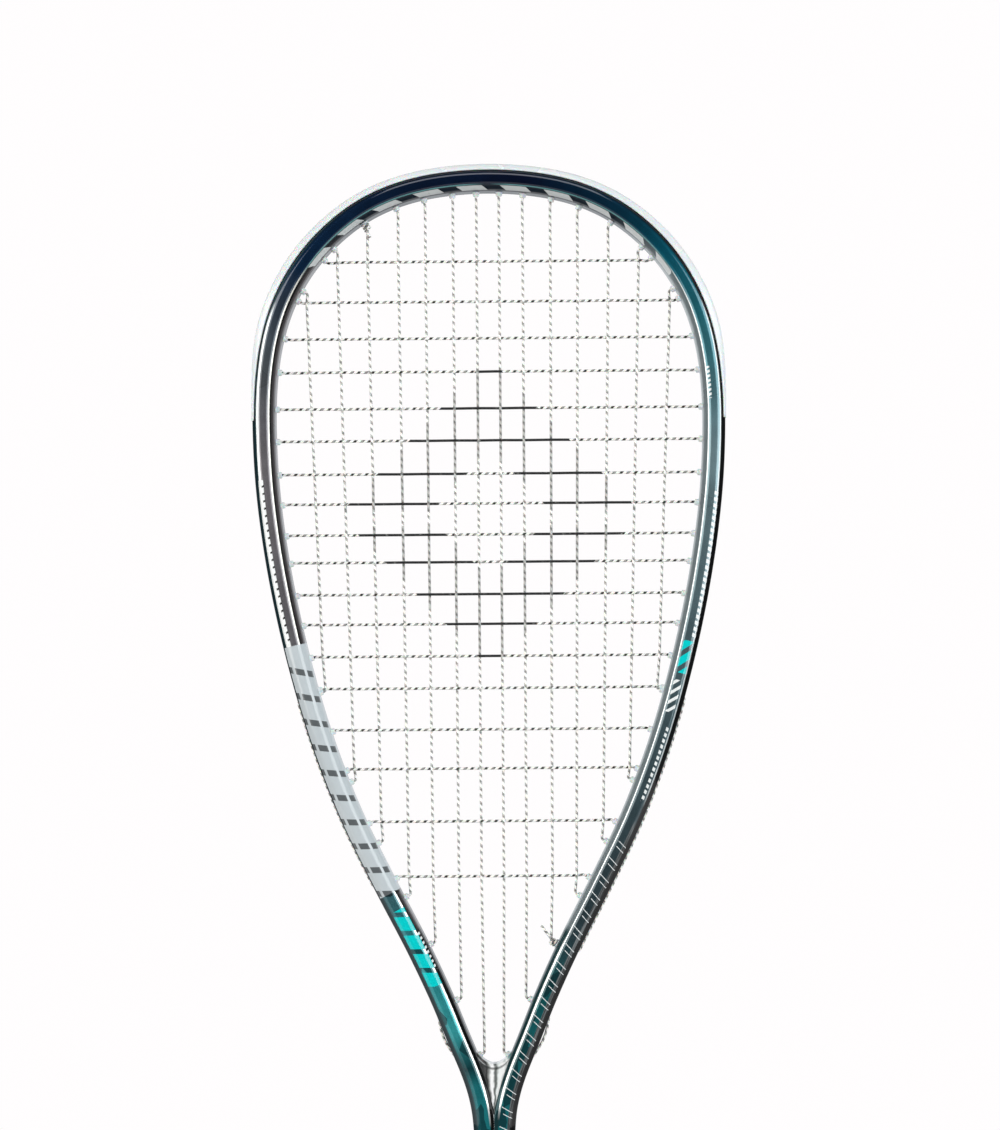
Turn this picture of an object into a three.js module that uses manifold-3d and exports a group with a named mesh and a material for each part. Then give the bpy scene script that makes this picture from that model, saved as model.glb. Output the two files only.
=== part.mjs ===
// A squash racket: a hairpin tube bent into a teardrop head and a shaft, woven with one string, on a
// gripped handle. Millimetres. +Z runs up the shaft to the tip of the head, the strings lie in the
// plane y = 0, and the front faces -Y. The origin is the middle of the butt's flat end.
import * as THREE from 'three';
import { mergeVertices } from 'three/addons/utils/BufferGeometryUtils.js';
import Module from 'manifold-3d';

const wasm = await Module();
wasm.setup();

const GAP = 0.3; // clearance between pieces that touch
const WELD = 1e-4; // corners closer than this are one
const CLOSE = 0.01; // near enough, for places along the tube
const PAST = 1; // how far a cutter runs past the surface that it opens

// The middle line of the tube on the right-hand side, as [x, z], from the tip down to the shaft
const LEG_X = 3.9;
const HEAD_OUTLINE = [
  [0, 678], [32.5, 674.3], [54.6, 665.3], [72.3, 651], [83.5, 636.5], [91, 621], [95.5, 604],
  [97.6, 585], [97.8, 568], [96.7, 545.5], [93.8, 520.5], [89.3, 494.5], [82.8, 466], [74, 435.5],
  [61.6, 402.5], [46.7, 371.5], [32.6, 344], [21.8, 320.5], [15.4, 304.5], [11.9, 296.3],
  [8.4, 287.3], [5.8, 278], [4.4, 268.5], [LEG_X, 256],
];
const HEAD_STEPS = 60;
const TUBE_END_Z = 27;

// Tube sections, as [outward from the middle line, towards the front]
const TUBE_HALF_WIDTH = 4.85;
const TUBE_HALF_DEPTH = 9;
const TUBE_CORNERS = [[TUBE_HALF_WIDTH, 5.5], [3, 8.2], [1.6, TUBE_HALF_DEPTH]];
const BORE_SIDE = [[-3.3, 4.6], [-1.6, 7.3], [1.6, 7.3], [3.2, 4.6], [1, 3.4]];
const LEGS_APART = 0.3; // slit between the two legs of the tube in the shaft
const LEGS_MEET_X = 9; // the arms start to flatten against each other here
const WEB = { top: 292.5, rise: 2, bottom: 275, halfDepth: 5.2, hollow: 0.5, hollowX: 2.6, steps: 6 };

// Groove round the outside of the head, and the grommet strips in it
const GROOVE = { floor: 2.3, halfWidth: 2.9, endZ: 288 };
const STRIP = { floor: GROOVE.floor + GAP, top: 3.2, halfWidth: GROOVE.halfWidth - GAP };
const BUMPER = { base: TUBE_HALF_WIDTH + GAP, top: 7.45, endZ: 573.8, endHeight: 0.2, taper: 45 };
// One rail of the bumper as [out, front]: over the tube's edge and down its bevel, then up to the crest
const BUMPER_SIDE = [
  [BUMPER.base, 5.6], [4.1, 7.15], [4.55, 7.5], [6.6, 5.9], [BUMPER.top, 4.4], [BUMPER.top, 2.3],
  [STRIP.top, 2],
];
const SIDE_STRIP_END_Z = 452;
const ARM_STRIP_END_Z = 354;
const STRIP_SPACE = 1.2; // between the ends of neighbouring strips
const SINGLE_GROMMET_HALF = 3.5;
const REACH = 7.05; // a grommet's lip stands this far inside the tube's middle line
const BARREL_TOP = 2.9; // its other end, inside the strip's base
const DRILL_START = -6.5; // the drill's tip, clear of the tube's inner side
const PLAIN_HOLE = { bore: 1, barrel: 1.45, drill: 2.25 };
const TIE_HOLE = { bore: 1.55, barrel: 2, drill: 3.05 };

// Strings: seven mains each side of the middle, and eighteen crosses
const STRING_HALF = 0.5;
const WEAVE = 0.62; // how far a string stands off the plane where it passes another
const MAIN_X = [4.9, 15, 26.7, 38, 50.6, 62.8, 75.6];
const MAIN_Z = 530; // the height at which those are measured
const MAIN_FAN = 0.037; // lean of the outermost main, as x over z
const CROSS_Z = [
  643, 625.5, 609.5, 595, 579, 565, 550.5, 537.5, 524, 512, 498, 485, 471, 457, 439, 422, 399, 375,
];
const CROSSING_CLEARANCE = 1.5; // strings this close to a grommet no longer weave
const LANE = { out: 4, main: -1.2, cross: 1.2, corner: 3.7, cut: 1.6 };
const LIP_CLEARANCE = 0.7; // a string bends this far inside a grommet's lip
const RUN_OUT = 5.2; // the two tie-off runs ride over the other strings, this far out
const PAIR_SHIFT = 0.58; // two strings side by side in a tie-off hole
const TIE_MAIN = { top: 4, bottom: 2 }; // which mains carry the knots, counted from the middle
const KNOT = { radius: 1.7, inside: 1.45, sides: 8, rings: 6 }; // inside: its middle, past the grommet's lip
const LOW_TAIL = { x: -4.2, z: 5.6 };
const HIGH_TAIL = { x: 1.6, z: -2.6 };
const SHARPEST_MITRE = 0.7;

// Handle
const HANDLE = { x: 13.3, y: 10.8, chamfer: 4.4, bottom: 25, top: 194, tip: 204, lessX: 2.9, lessY: 0.4 };
const SPIGOT = { x: 11.2, y: 8.7, chamfer: 3.4, bottom: 3.5, sunk: 0.5 };
const CAP = { x: 17.3, y: 14.8, chamfer: 6.5, flange: 5, floor: 3, edge: 1 };
const GRIP = { x: 15.5, y: 13, chamfer: 5, bottom: CAP.flange + GAP, top: 197 };
// The grip's end swells over the cap's staples: as [z, added to each side]
const GRIP_FLARE = [[GRIP.bottom, 1.1], [14, 0.77], [25, 0]];
const STAPLE_ROOM = { slack: 1, top: 20 };
const TAPE = { thick: 0.5, bottom: 191, shoulder: 199, top: 209, slack: 1, past: 0.1 };
const PLUG = { bottom: 28, length: 12, side: [[0.95, 4.4], [2.5, 6.9], [5.3, 6.9], [6.5, 4.75], [4.6, 3.7]] };
const STAPLE = { z: 14, crown: 9, leg: 6.5, wire: 0.5, hole: 1.2, deeper: 2 };

const FRONT = new THREE.Vector3(0, -1, 0);

// Booleans

function solid(geometry) {
  const bare = geometry.index ? geometry.toNonIndexed() : geometry.clone();
  bare.deleteAttribute('normal');
  bare.deleteAttribute('uv');
  const merged = mergeVertices(bare, WELD);
  return new wasm.Manifold(new wasm.Mesh({
    numProp: 3,
    vertProperties: new Float32Array(merged.attributes.position.array),
    triVerts: new Uint32Array(merged.index.array),
  }));
}

function geometryOf(manifold) {
  const mesh = manifold.getMesh();
  const geometry = new THREE.BufferGeometry();
  geometry.setAttribute('position', new THREE.BufferAttribute(mesh.vertProperties, 3));
  geometry.setIndex(new THREE.BufferAttribute(mesh.triVerts, 1));
  return geometry;
}

const joined = (solids) => solids.reduce((whole, one) => whole.add(one));
const without = (body, cutters) => body.subtract(joined(cutters));

function moveVertices(geometry, move) {
  const position = geometry.attributes.position;
  const vertex = new THREE.Vector3();
  for (let i = 0; i < position.count; i += 1) {
    vertex.fromBufferAttribute(position, i);
    const moved = move(vertex);
    position.setXYZ(i, moved.x, moved.y, moved.z);
  }
  return geometry;
}

// Outlines

const polygon = (corners) => new THREE.Shape(corners.map(([x, y]) => new THREE.Vector2(x, y)));

function chamferedOutline(x, y, chamfer) {
  return [
    [x, chamfer - y], [x, y - chamfer], [x - chamfer, y], [chamfer - x, y],
    [-x, y - chamfer], [-x, chamfer - y], [chamfer - x, -y], [x - chamfer, -y],
  ];
}

// Mirrors one side of a section, listed from its inner to its outer end, to the other side
function bothSides(side) {
  const mirrored = side.map(([out, front]) => [out, -front]);
  return [...mirrored, ...[...side].reverse()];
}

const rectangle = (low, high, half) => polygon([[low, -half], [high, -half], [high, half], [low, half]]);

// The tube's middle line, as stations with an outward normal and the distance travelled along it

function headCurve() {
  const right = HEAD_OUTLINE.map(([x, z]) => new THREE.Vector3(x, 0, z));
  const left = right.slice(1).reverse().map((point) => new THREE.Vector3(-point.x, 0, point.z));
  const curve = new THREE.CatmullRomCurve3([...left, ...right]);
  curve.arcLengthDivisions = 40 * HEAD_STEPS;
  return curve;
}

function makeSpine() {
  const points = headCurve().getSpacedPoints(HEAD_STEPS);
  points.unshift(new THREE.Vector3(-LEG_X, 0, TUBE_END_Z));
  points.push(new THREE.Vector3(LEG_X, 0, TUBE_END_Z));
  let travel = 0;
  return points.map((point, i) => {
    const before = points[Math.max(i - 1, 0)];
    const after = points[Math.min(i + 1, points.length - 1)];
    const along = point.clone().sub(before);
    travel += along.length();
    const arriving = i === 0 ? after.clone().sub(point).normalize() : along.normalize();
    const leaving = after === point ? arriving.clone() : after.clone().sub(point).normalize();
    const tangent = arriving.clone().add(leaving).normalize();
    const normal = new THREE.Vector3(-tangent.z, 0, tangent.x);
    return { point, normal: normal.divideScalar(tangent.dot(arriving)), travel };
  });
}

const spine = makeSpine();
const SPINE_LENGTH = spine[spine.length - 1].travel;

function spineAt(travel) {
  let i = spine.findIndex((station) => station.travel > travel) - 1;
  i = i === -2 ? spine.length - 2 : Math.max(i, 0);
  const [from, to] = [spine[i], spine[i + 1]];
  const part = (travel - from.travel) / (to.travel - from.travel);
  return {
    point: from.point.clone().lerp(to.point, part),
    normal: from.normal.clone().lerp(to.normal, part),
  };
}

// A point beside the middle line: so far outward, and so far towards the front
function besideSpine(travel, out, front = 0) {
  const { point, normal } = spineAt(travel);
  return point.addScaledVector(normal, out).addScaledVector(FRONT, front);
}

// Distance travelled where the middle line passes a height, on the left (-1) or the right (1)
function travelAtHeight(z, side) {
  const i = spine.findIndex((station) => station.point.z > z);
  const [from, to] = [spine[i - 1], spine[i]];
  const part = (z - from.point.z) / (to.point.z - from.point.z);
  const travel = from.travel + part * (to.travel - from.travel);
  return side < 0 ? travel : SPINE_LENGTH - travel;
}

const stationsBetween = (low, high) => spine.map((station) => station.travel)
  .filter((travel) => travel > low && travel < high);

// A straight extrusion of a section, carried onto the middle line between two distances
function alongSpine(section, from, to, adjust = (corner) => corner) {
  const marks = [from, ...stationsBetween(from + CLOSE, to - CLOSE), to];
  const steps = marks.length - 1;
  const straight = new THREE.ExtrudeGeometry(section, { depth: steps, steps, bevelEnabled: false });
  return moveVertices(straight, (vertex) => {
    const travel = marks[Math.round(vertex.z)];
    const corner = adjust({ out: vertex.x, front: vertex.y }, travel);
    return besideSpine(travel, corner.out, corner.front);
  });
}

// A prism across the middle line, from one distance outward to another
function acrossSpine(travel, from, to, radius, sides) {
  const [start, end] = [besideSpine(travel, from), besideSpine(travel, to)];
  const along = end.clone().sub(start);
  const prism = new THREE.CylinderGeometry(radius, radius, along.length(), sides);
  const turn = new THREE.Quaternion().setFromUnitVectors(new THREE.Vector3(0, 1, 0), along.normalize());
  prism.applyQuaternion(turn);
  prism.translate(...start.add(end).multiplyScalar(0.5).toArray());
  return solid(prism);
}

const drill = ({ travel }, from, to, radius) => acrossSpine(travel, from, to, radius, 4);
const barrel = ({ travel }, from, to, radius) => acrossSpine(travel, from, to, radius, 6);

// String lines and the holes that they end in

function nearestOnSpine(place) {
  let best = { distance: Infinity, travel: 0 };
  const nearest = new THREE.Vector3();
  for (let i = 1; i < spine.length; i += 1) {
    const piece = new THREE.Line3(spine[i - 1].point, spine[i].point);
    const part = piece.closestPointToPointParameter(place, true);
    const distance = piece.at(part, nearest).distanceTo(place);
    if (distance < best.distance) {
      best = { distance, travel: spine[i - 1].travel + part * piece.distance() };
    }
  }
  return best;
}

// The hole whose grommet lip a line reaches, going one way from a point inside the head
function holeAlong(start, direction, tie) {
  const place = start.clone();
  let step = 4;
  while (step > CLOSE) {
    place.addScaledVector(direction, step);
    if (nearestOnSpine(place).distance < REACH) {
      place.addScaledVector(direction, -step);
      step /= 2;
    }
  }
  return { travel: nearestOnSpine(place).travel, size: tie ? TIE_HOLE : PLAIN_HOLE };
}

// Mains run from the left to the right, so the two halves of the head share one numbering
function makeMain(index) {
  const side = index < MAIN_X.length ? -1 : 1;
  const rank = side < 0 ? MAIN_X.length - 1 - index : index - MAIN_X.length;
  const lean = side * MAIN_FAN * (MAIN_X[rank] / MAIN_X[MAIN_X.length - 1]) ** 2;
  const middle = new THREE.Vector3(side * MAIN_X[rank], 0, MAIN_Z);
  const up = new THREE.Vector3(lean, 0, 1).normalize();
  return {
    index,
    rank,
    xAt: (z) => middle.x + lean * (z - MAIN_Z),
    top: holeAlong(middle, up, rank === TIE_MAIN.top),
    bottom: holeAlong(middle, up.clone().negate(), rank === TIE_MAIN.bottom),
  };
}

function makeCross(z, index) {
  const middle = new THREE.Vector3(0, 0, z);
  return {
    index,
    z,
    left: holeAlong(middle, new THREE.Vector3(-1, 0, 0), false),
    right: holeAlong(middle, new THREE.Vector3(1, 0, 0), false),
  };
}

const mains = Array.from({ length: 2 * MAIN_X.length }, (_, index) => makeMain(index));
const crosses = CROSS_Z.map(makeCross);
const holes = [...mains.flatMap((main) => [main.top, main.bottom]),
  ...crosses.flatMap((cross) => [cross.left, cross.right])];

const lip = (hole) => besideSpine(hole.travel, -REACH);

// Where a main and a cross pass, or null where either ends before it
function crossing(main, cross) {
  const place = new THREE.Vector3(main.xAt(cross.z), 0, cross.z);
  const woven = place.z < lip(main.top).z && place.z > lip(main.bottom).z
    && place.x > lip(cross.left).x && place.x < lip(cross.right).x;
  const clear = nearestOnSpine(place).distance > REACH + CROSSING_CLEARANCE;
  return woven && clear ? place : null;
}

// Frame

function flattenedLegs(corner, travel) {
  const { point } = spineAt(travel);
  const meeting = THREE.MathUtils.clamp((LEGS_MEET_X - Math.abs(point.x)) / (LEGS_MEET_X - LEG_X), 0, 1);
  const filled = corner.out < 0 ? meeting : 0;
  const front = THREE.MathUtils.lerp(corner.front, Math.sign(corner.front) * TUBE_HALF_DEPTH, filled);
  const innermost = LEGS_APART / 2 - Math.abs(point.x);
  return { out: meeting > 0 ? Math.max(corner.out, innermost) : corner.out, front };
}

function frameTube() {
  const inner = TUBE_CORNERS.map(([out, front]) => [-out, front]);
  const outline = polygon(bothSides([...inner, ...[...TUBE_CORNERS].reverse()]));
  const tube = solid(alongSpine(outline, 0, SPINE_LENGTH, flattenedLegs));
  const bore = solid(alongSpine(polygon(bothSides(BORE_SIDE)), -PAST, SPINE_LENGTH + PAST));
  const [start, end] = [travelAtHeight(GROOVE.endZ, -1), travelAtHeight(GROOVE.endZ, 1)];
  const groove = solid(alongSpine(rectangle(GROOVE.floor, BUMPER.top, GROOVE.halfWidth), start, end));
  const drilled = holes.map((hole) => drill(hole, DRILL_START, LANE.out, hole.size.drill));
  return geometryOf(without(tube, [bore, groove, ...drilled]));
}

// The web that joins the two arms where they part, with a hollow upper edge
function throatBridge() {
  const innerX = (z) => {
    const { point, normal } = spineAt(travelAtHeight(z, 1));
    return point.x - (TUBE_HALF_WIDTH + GAP) / normal.clone().normalize().x;
  };
  const right = [];
  for (let i = 0; i <= WEB.steps; i += 1) {
    const z = THREE.MathUtils.lerp(WEB.bottom, WEB.top + WEB.rise, i / WEB.steps);
    right.push([innerX(z), z]);
  }
  const left = right.map(([x, z]) => [-x, z]).reverse();
  const shoulder = WEB.top + WEB.hollow;
  const saddle = [[WEB.hollowX, shoulder], [0, WEB.top], [-WEB.hollowX, shoulder]];
  const web = new THREE.ExtrudeGeometry(polygon([...right, ...saddle, ...left]), {
    depth: 2 * WEB.halfDepth, bevelEnabled: false,
  });
  web.rotateX(Math.PI / 2);
  web.translate(0, WEB.halfDepth, 0);
  return web;
}

// Grommet strips: a base in the groove, with a barrel through the tube at every string hole

function withBarrels(base, from, to) {
  const own = holes.filter((hole) => hole.travel > from && hole.travel < to);
  const barrels = own.map((hole) => barrel(hole, -REACH, BARREL_TOP, hole.size.barrel));
  const bores = own.map((hole) => barrel(hole, -REACH - PAST, LANE.out, hole.size.bore));
  return geometryOf(without(joined([solid(base), ...barrels]), bores));
}

function grommetStrip(from, to) {
  const base = alongSpine(rectangle(STRIP.floor, STRIP.top, STRIP.halfWidth), from, to);
  return withBarrels(base, from, to);
}

// The head's strip carries a bumper rail each side of the strings, which fades out at both ends
function headBumper() {
  const [from, to] = [travelAtHeight(BUMPER.endZ, -1), travelAtHeight(BUMPER.endZ, 1)];
  const wall = STRIP.halfWidth;
  const side = [[STRIP.floor, wall], [BUMPER.base, wall], ...BUMPER_SIDE];
  const faded = (corner, travel) => {
    const nearEnd = Math.min(travel - from, to - travel) / BUMPER.taper;
    const height = BUMPER.endHeight + (1 - BUMPER.endHeight) * THREE.MathUtils.smoothstep(nearEnd, 0, 1);
    const above = corner.out - BUMPER.base;
    return { out: above > 0 ? BUMPER.base + above * height : corner.out, front: corner.front };
  };
  return withBarrels(alongSpine(polygon(bothSides(side)), from, to, faded), from, to);
}

// String: one length, from the knot low on the right, over the mains from right to left, then over
// the crosses from the bottom to the top, to the knot high on the left

function throughHole(hole, shift) {
  const bend = besideSpine(hole.travel, -REACH - LIP_CLEARANCE, -shift);
  return [bend, besideSpine(hole.travel, LANE.corner, -shift)];
}

// From the outer end of one hole to another's, along a lane in the groove
function alongLane(from, to, out, lane) {
  const onward = Math.sign(to.travel - from.travel);
  const [start, end] = [from.travel + onward * LANE.cut, to.travel - onward * LANE.cut];
  const marks = [start, ...stationsBetween(Math.min(start, end), Math.max(start, end)), end];
  marks.sort((a, b) => onward * (a - b));
  return marks.map((travel) => besideSpine(travel, out, -lane));
}

function loop(from, to, fromShift, toShift, out, lane) {
  return [
    ...throughHole(from, fromShift),
    ...alongLane(from, to, out, lane),
    ...throughHole(to, toShift).reverse(),
  ];
}

const over = (main, cross) => ((main.index + cross.index) % 2 === 0 ? WEAVE : -WEAVE);

function mainSpan(main, upward) {
  const points = crosses.map((cross) => crossing(main, cross)?.setY(over(main, cross)));
  const woven = points.filter(Boolean);
  return upward ? woven.reverse() : woven;
}

function crossSpan(cross, rightward) {
  const points = mains.map((main) => crossing(main, cross)?.setY(-over(main, cross)));
  const woven = points.filter(Boolean);
  return rightward ? woven : woven.reverse();
}

const knotCentre = (hole) => besideSpine(hole.travel, -REACH - KNOT.inside);
const isUp = (main) => main.index % 2 === 1;
const isRightward = (cross) => cross.index % 2 === 1;
const lowKnot = mains[MAIN_X.length + TIE_MAIN.bottom].bottom;
const highKnot = mains[MAIN_X.length - 1 - TIE_MAIN.top].top;
const shiftIn = (hole) => (hole === lowKnot || hole === highKnot ? -PAIR_SHIFT : 0);

function tail(hole, end) {
  const start = knotCentre(hole).add(new THREE.Vector3(end.x, PAIR_SHIFT, end.z));
  return [start, knotCentre(hole).setY(PAIR_SHIFT)];
}

function stringRoute() {
  const lastMain = mains[mains.length - 1];
  const firstCross = crosses[crosses.length - 1];
  const route = tail(lowKnot, LOW_TAIL);
  route.push(...loop(lowKnot, lastMain.bottom, PAIR_SHIFT, 0, RUN_OUT, 0));
  for (const main of [...mains].reverse()) {
    route.push(...mainSpan(main, isUp(main)));
    const next = mains[main.index - 1];
    const [from, to] = isUp(main) ? [main.top, next?.top] : [main.bottom, next?.bottom];
    if (next) {
      route.push(...loop(from, to, shiftIn(from), shiftIn(to), LANE.out, LANE.main));
    }
  }
  route.push(...loop(mains[0].bottom, firstCross.left, 0, 0, RUN_OUT, 0));
  for (const cross of [...crosses].reverse()) {
    route.push(...crossSpan(cross, isRightward(cross)));
    const next = crosses[cross.index - 1];
    const [from, to] = isRightward(cross) ? [cross.right, next?.right] : [cross.left, next?.left];
    if (next) {
      route.push(...loop(from, to, 0, 0, LANE.out, LANE.cross));
    }
  }
  route.push(...loop(crosses[0].left, highKnot, 0, PAIR_SHIFT, RUN_OUT, 0));
  return [...route, ...tail(highKnot, HIGH_TAIL).reverse()];
}

function stringBed() {
  const route = stringRoute();
  const frames = route.map((point, i) => {
    const arriving = point.clone().sub(route[Math.max(i - 1, 0)]).normalize();
    const leaving = route[Math.min(i + 1, route.length - 1)].clone().sub(point).normalize();
    const along = arriving.clone().add(leaving).normalize();
    const depth = new THREE.Vector3(0, 1, 0).addScaledVector(along, -along.y).normalize();
    const across = depth.clone().cross(along);
    const bend = i === 0 || i === route.length - 1 ? 1 : Math.max(along.dot(leaving), SHARPEST_MITRE);
    return { point, depth, across: across.divideScalar(bend) };
  });
  const steps = route.length - 1;
  const section = rectangle(-STRING_HALF, STRING_HALF, STRING_HALF);
  const straight = new THREE.ExtrudeGeometry(section, { depth: steps, steps, bevelEnabled: false });
  const string = moveVertices(straight, (vertex) => {
    const { point, depth, across } = frames[Math.round(vertex.z)];
    return point.clone().addScaledVector(across, vertex.x).addScaledVector(depth, vertex.y);
  });
  const knots = [lowKnot, highKnot].map((hole) => {
    const knot = new THREE.SphereGeometry(KNOT.radius, KNOT.sides, KNOT.rings);
    return solid(knot.translate(...knotCentre(hole).toArray()));
  });
  return geometryOf(joined([solid(string), ...knots]));
}

// Handle

function block(outline, low, high, holeOutline) {
  const shape = polygon(outline);
  if (holeOutline) {
    shape.holes.push(new THREE.Path(holeOutline.map(([x, y]) => new THREE.Vector2(x, y))));
  }
  return new THREE.ExtrudeGeometry(shape, { depth: high - low, bevelEnabled: false }).translate(0, 0, low);
}

// A block whose outline grows or shrinks from level to level: each level is [z, added to x, added to y]
function steppedBlock(x, y, chamfer, levels) {
  const steps = levels.length - 1;
  const straight = new THREE.ExtrudeGeometry(polygon(chamferedOutline(x, y, chamfer)), {
    depth: steps, steps, bevelEnabled: false,
  });
  return moveVertices(straight, (vertex) => {
    const [z, moreX, moreY] = levels[Math.round(vertex.z)];
    return vertex.clone().set(vertex.x * (1 + moreX / x), vertex.y * (1 + moreY / y), z);
  });
}

const SHAFT = { x: LEG_X + TUBE_HALF_WIDTH, y: TUBE_HALF_DEPTH, chamfer: 1 };
const shaftOutline = (slack) => chamferedOutline(SHAFT.x + slack, SHAFT.y + slack, SHAFT.chamfer);

// Slots for the staples' legs, one staple on each side of the neck
function staplePlaces() {
  return [0, 1, 2, 3].map((quarter) => {
    const face = quarter % 2 === 0 ? HANDLE.x : HANDLE.y;
    return { face, turn: quarter * Math.PI / 2 };
  });
}

function stapleSlots() {
  return staplePlaces().flatMap(({ face, turn }) => [-1, 1].map((end) => {
    const slot = new THREE.BoxGeometry(STAPLE.leg + STAPLE.deeper, STAPLE.hole, STAPLE.hole);
    const place = end * (STAPLE.crown - STAPLE.wire) / 2;
    slot.translate(face - STAPLE.leg / 2, place, STAPLE.z);
    return solid(slot.rotateZ(turn));
  }));
}

const handleOutline = (slack) => chamferedOutline(HANDLE.x + slack, HANDLE.y + slack, HANDLE.chamfer);

function handlePallet() {
  const body = solid(steppedBlock(HANDLE.x, HANDLE.y, HANDLE.chamfer, [
    [HANDLE.bottom, 0, 0], [HANDLE.top, 0, 0], [HANDLE.tip, -HANDLE.lessX, -HANDLE.lessY],
  ]));
  const spigotOutline = chamferedOutline(SPIGOT.x, SPIGOT.y, SPIGOT.chamfer);
  const spigot = solid(block(spigotOutline, SPIGOT.bottom, HANDLE.bottom + SPIGOT.sunk));
  const socket = solid(block(shaftOutline(GAP), TUBE_END_Z - GAP, HANDLE.tip + PAST));
  return geometryOf(without(body.add(spigot), [socket, ...stapleSlots()]));
}

function buttCap() {
  const flange = solid(steppedBlock(CAP.x, CAP.y, CAP.chamfer, [
    [0, -CAP.edge, -CAP.edge], [CAP.edge, 0, 0], [CAP.flange - CAP.edge, 0, 0],
    [CAP.flange, -CAP.edge, -CAP.edge],
  ]));
  const neck = solid(block(handleOutline(0), CAP.edge, HANDLE.bottom - GAP));
  const inside = chamferedOutline(SPIGOT.x + GAP, SPIGOT.y + GAP, SPIGOT.chamfer);
  const cup = solid(block(inside, CAP.floor, HANDLE.bottom + PAST));
  return geometryOf(without(flange.add(neck), [cup, ...stapleSlots()]));
}

function staple(turn, face) {
  const { crown, leg, wire } = STAPLE;
  const [out, half] = [face + GAP, crown / 2];
  const outline = polygon([
    [out, -half], [out + wire, -half], [out + wire, half], [out, half], [face - leg, half],
    [face - leg, half - wire], [out, half - wire], [out, wire - half], [face - leg, wire - half],
    [face - leg, -half],
  ]);
  const made = new THREE.ExtrudeGeometry(outline, { depth: wire, bevelEnabled: false });
  return made.translate(0, 0, STAPLE.z - wire / 2).rotateZ(turn);
}

function gripSleeve() {
  const levels = [...GRIP_FLARE, [GRIP.top, 0]].map(([z, more]) => [z, more, more]);
  const outside = solid(steppedBlock(GRIP.x, GRIP.y, GRIP.chamfer, levels));
  const bore = block(handleOutline(GAP), 0, GRIP.top + PAST);
  const neck = block(handleOutline(STAPLE_ROOM.slack), 0, STAPLE_ROOM.top);
  return geometryOf(without(outside, [solid(bore), solid(neck)]));
}

function finishingTape() {
  const lean = { x: SHAFT.x + TAPE.slack - GRIP.x, y: SHAFT.y + TAPE.slack - GRIP.y };
  const cone = (slack, low, high) => solid(steppedBlock(GRIP.x, GRIP.y, GRIP.chamfer, [
    [low, slack, slack], [TAPE.shoulder, slack, slack], [high, lean.x + slack, lean.y + slack],
  ]));
  const bore = cone(GAP, TAPE.bottom - PAST, TAPE.top + TAPE.past);
  return geometryOf(cone(GAP + TAPE.thick, TAPE.bottom, TAPE.top).subtract(bore));
}

// A plug in the open end of each leg of the tube
function endPlug(side) {
  const outline = bothSides(PLUG.side).map(([x, y]) => [side * x, y]);
  return block(outline, PLUG.bottom, PLUG.bottom + PLUG.length);
}

// Assembly

const MATERIALS = {
  lacquered_graphite: new THREE.MeshStandardMaterial({ color: 0x14303a, roughness: 0.18, metalness: 0.2 }),
  clear_nylon: new THREE.MeshStandardMaterial({ color: 0xe4eef2, roughness: 0.35, metalness: 0 }),
  string: new THREE.MeshStandardMaterial({ color: 0xd8d8d4, roughness: 0.4, metalness: 0 }),
  foam: new THREE.MeshStandardMaterial({ color: 0x3a3a3a, roughness: 0.9, metalness: 0 }),
  cap_plastic: new THREE.MeshStandardMaterial({ color: 0x161616, roughness: 0.5, metalness: 0 }),
  grip: new THREE.MeshStandardMaterial({ color: 0x1c1d1f, roughness: 0.85, metalness: 0 }),
  tape: new THREE.MeshStandardMaterial({ color: 0x1fa7ad, roughness: 0.5, metalness: 0 }),
  staple_wire: new THREE.MeshStandardMaterial({ color: 0xb8babd, roughness: 0.3, metalness: 1 }),
};

const racket = new THREE.Group();

function add(name, geometry, material) {
  const mesh = new THREE.Mesh(geometry, MATERIALS[material]);
  mesh.name = name;
  racket.add(mesh);
}

add('frame_tube', frameTube(), 'lacquered_graphite');
add('throat_bridge', throatBridge(), 'lacquered_graphite');
add('head_bumper', headBumper(), 'clear_nylon');
for (const [name, side] of [['left', -1], ['right', 1]]) {
  const between = (high, low) => {
    const ends = [travelAtHeight(high, side), travelAtHeight(low, side)].sort((a, b) => a - b);
    return [ends[0] + STRIP_SPACE / 2, ends[1] - STRIP_SPACE / 2];
  };
  add(`${name}_side_strip`, grommetStrip(...between(BUMPER.endZ, SIDE_STRIP_END_Z)), 'clear_nylon');
  add(`${name}_arm_strip`, grommetStrip(...between(SIDE_STRIP_END_Z, ARM_STRIP_END_Z)), 'clear_nylon');
  for (const rank of [0, 1, 2]) {
    const index = side < 0 ? MAIN_X.length - 1 - rank : MAIN_X.length + rank;
    const { travel } = mains[index].bottom;
    const grommet = grommetStrip(travel - SINGLE_GROMMET_HALF, travel + SINGLE_GROMMET_HALF);
    add(`${name}_throat_grommet_${rank + 1}`, grommet, 'clear_nylon');
  }
  add(`${name}_end_plug`, endPlug(side), 'foam');
}
add('string', stringBed(), 'string');
add('handle_pallet', handlePallet(), 'foam');
add('butt_cap', buttCap(), 'cap_plastic');
for (const [i, { face, turn }] of staplePlaces().entries()) {
  add(`cap_staple_${i + 1}`, staple(turn, face), 'staple_wire');
}
add('grip', gripSleeve(), 'grip');
add('finishing_tape', finishingTape(), 'tape');

export default racket;
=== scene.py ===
import math

import bmesh
import bpy
import numpy as np
from mathutils import Matrix, Vector


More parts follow.
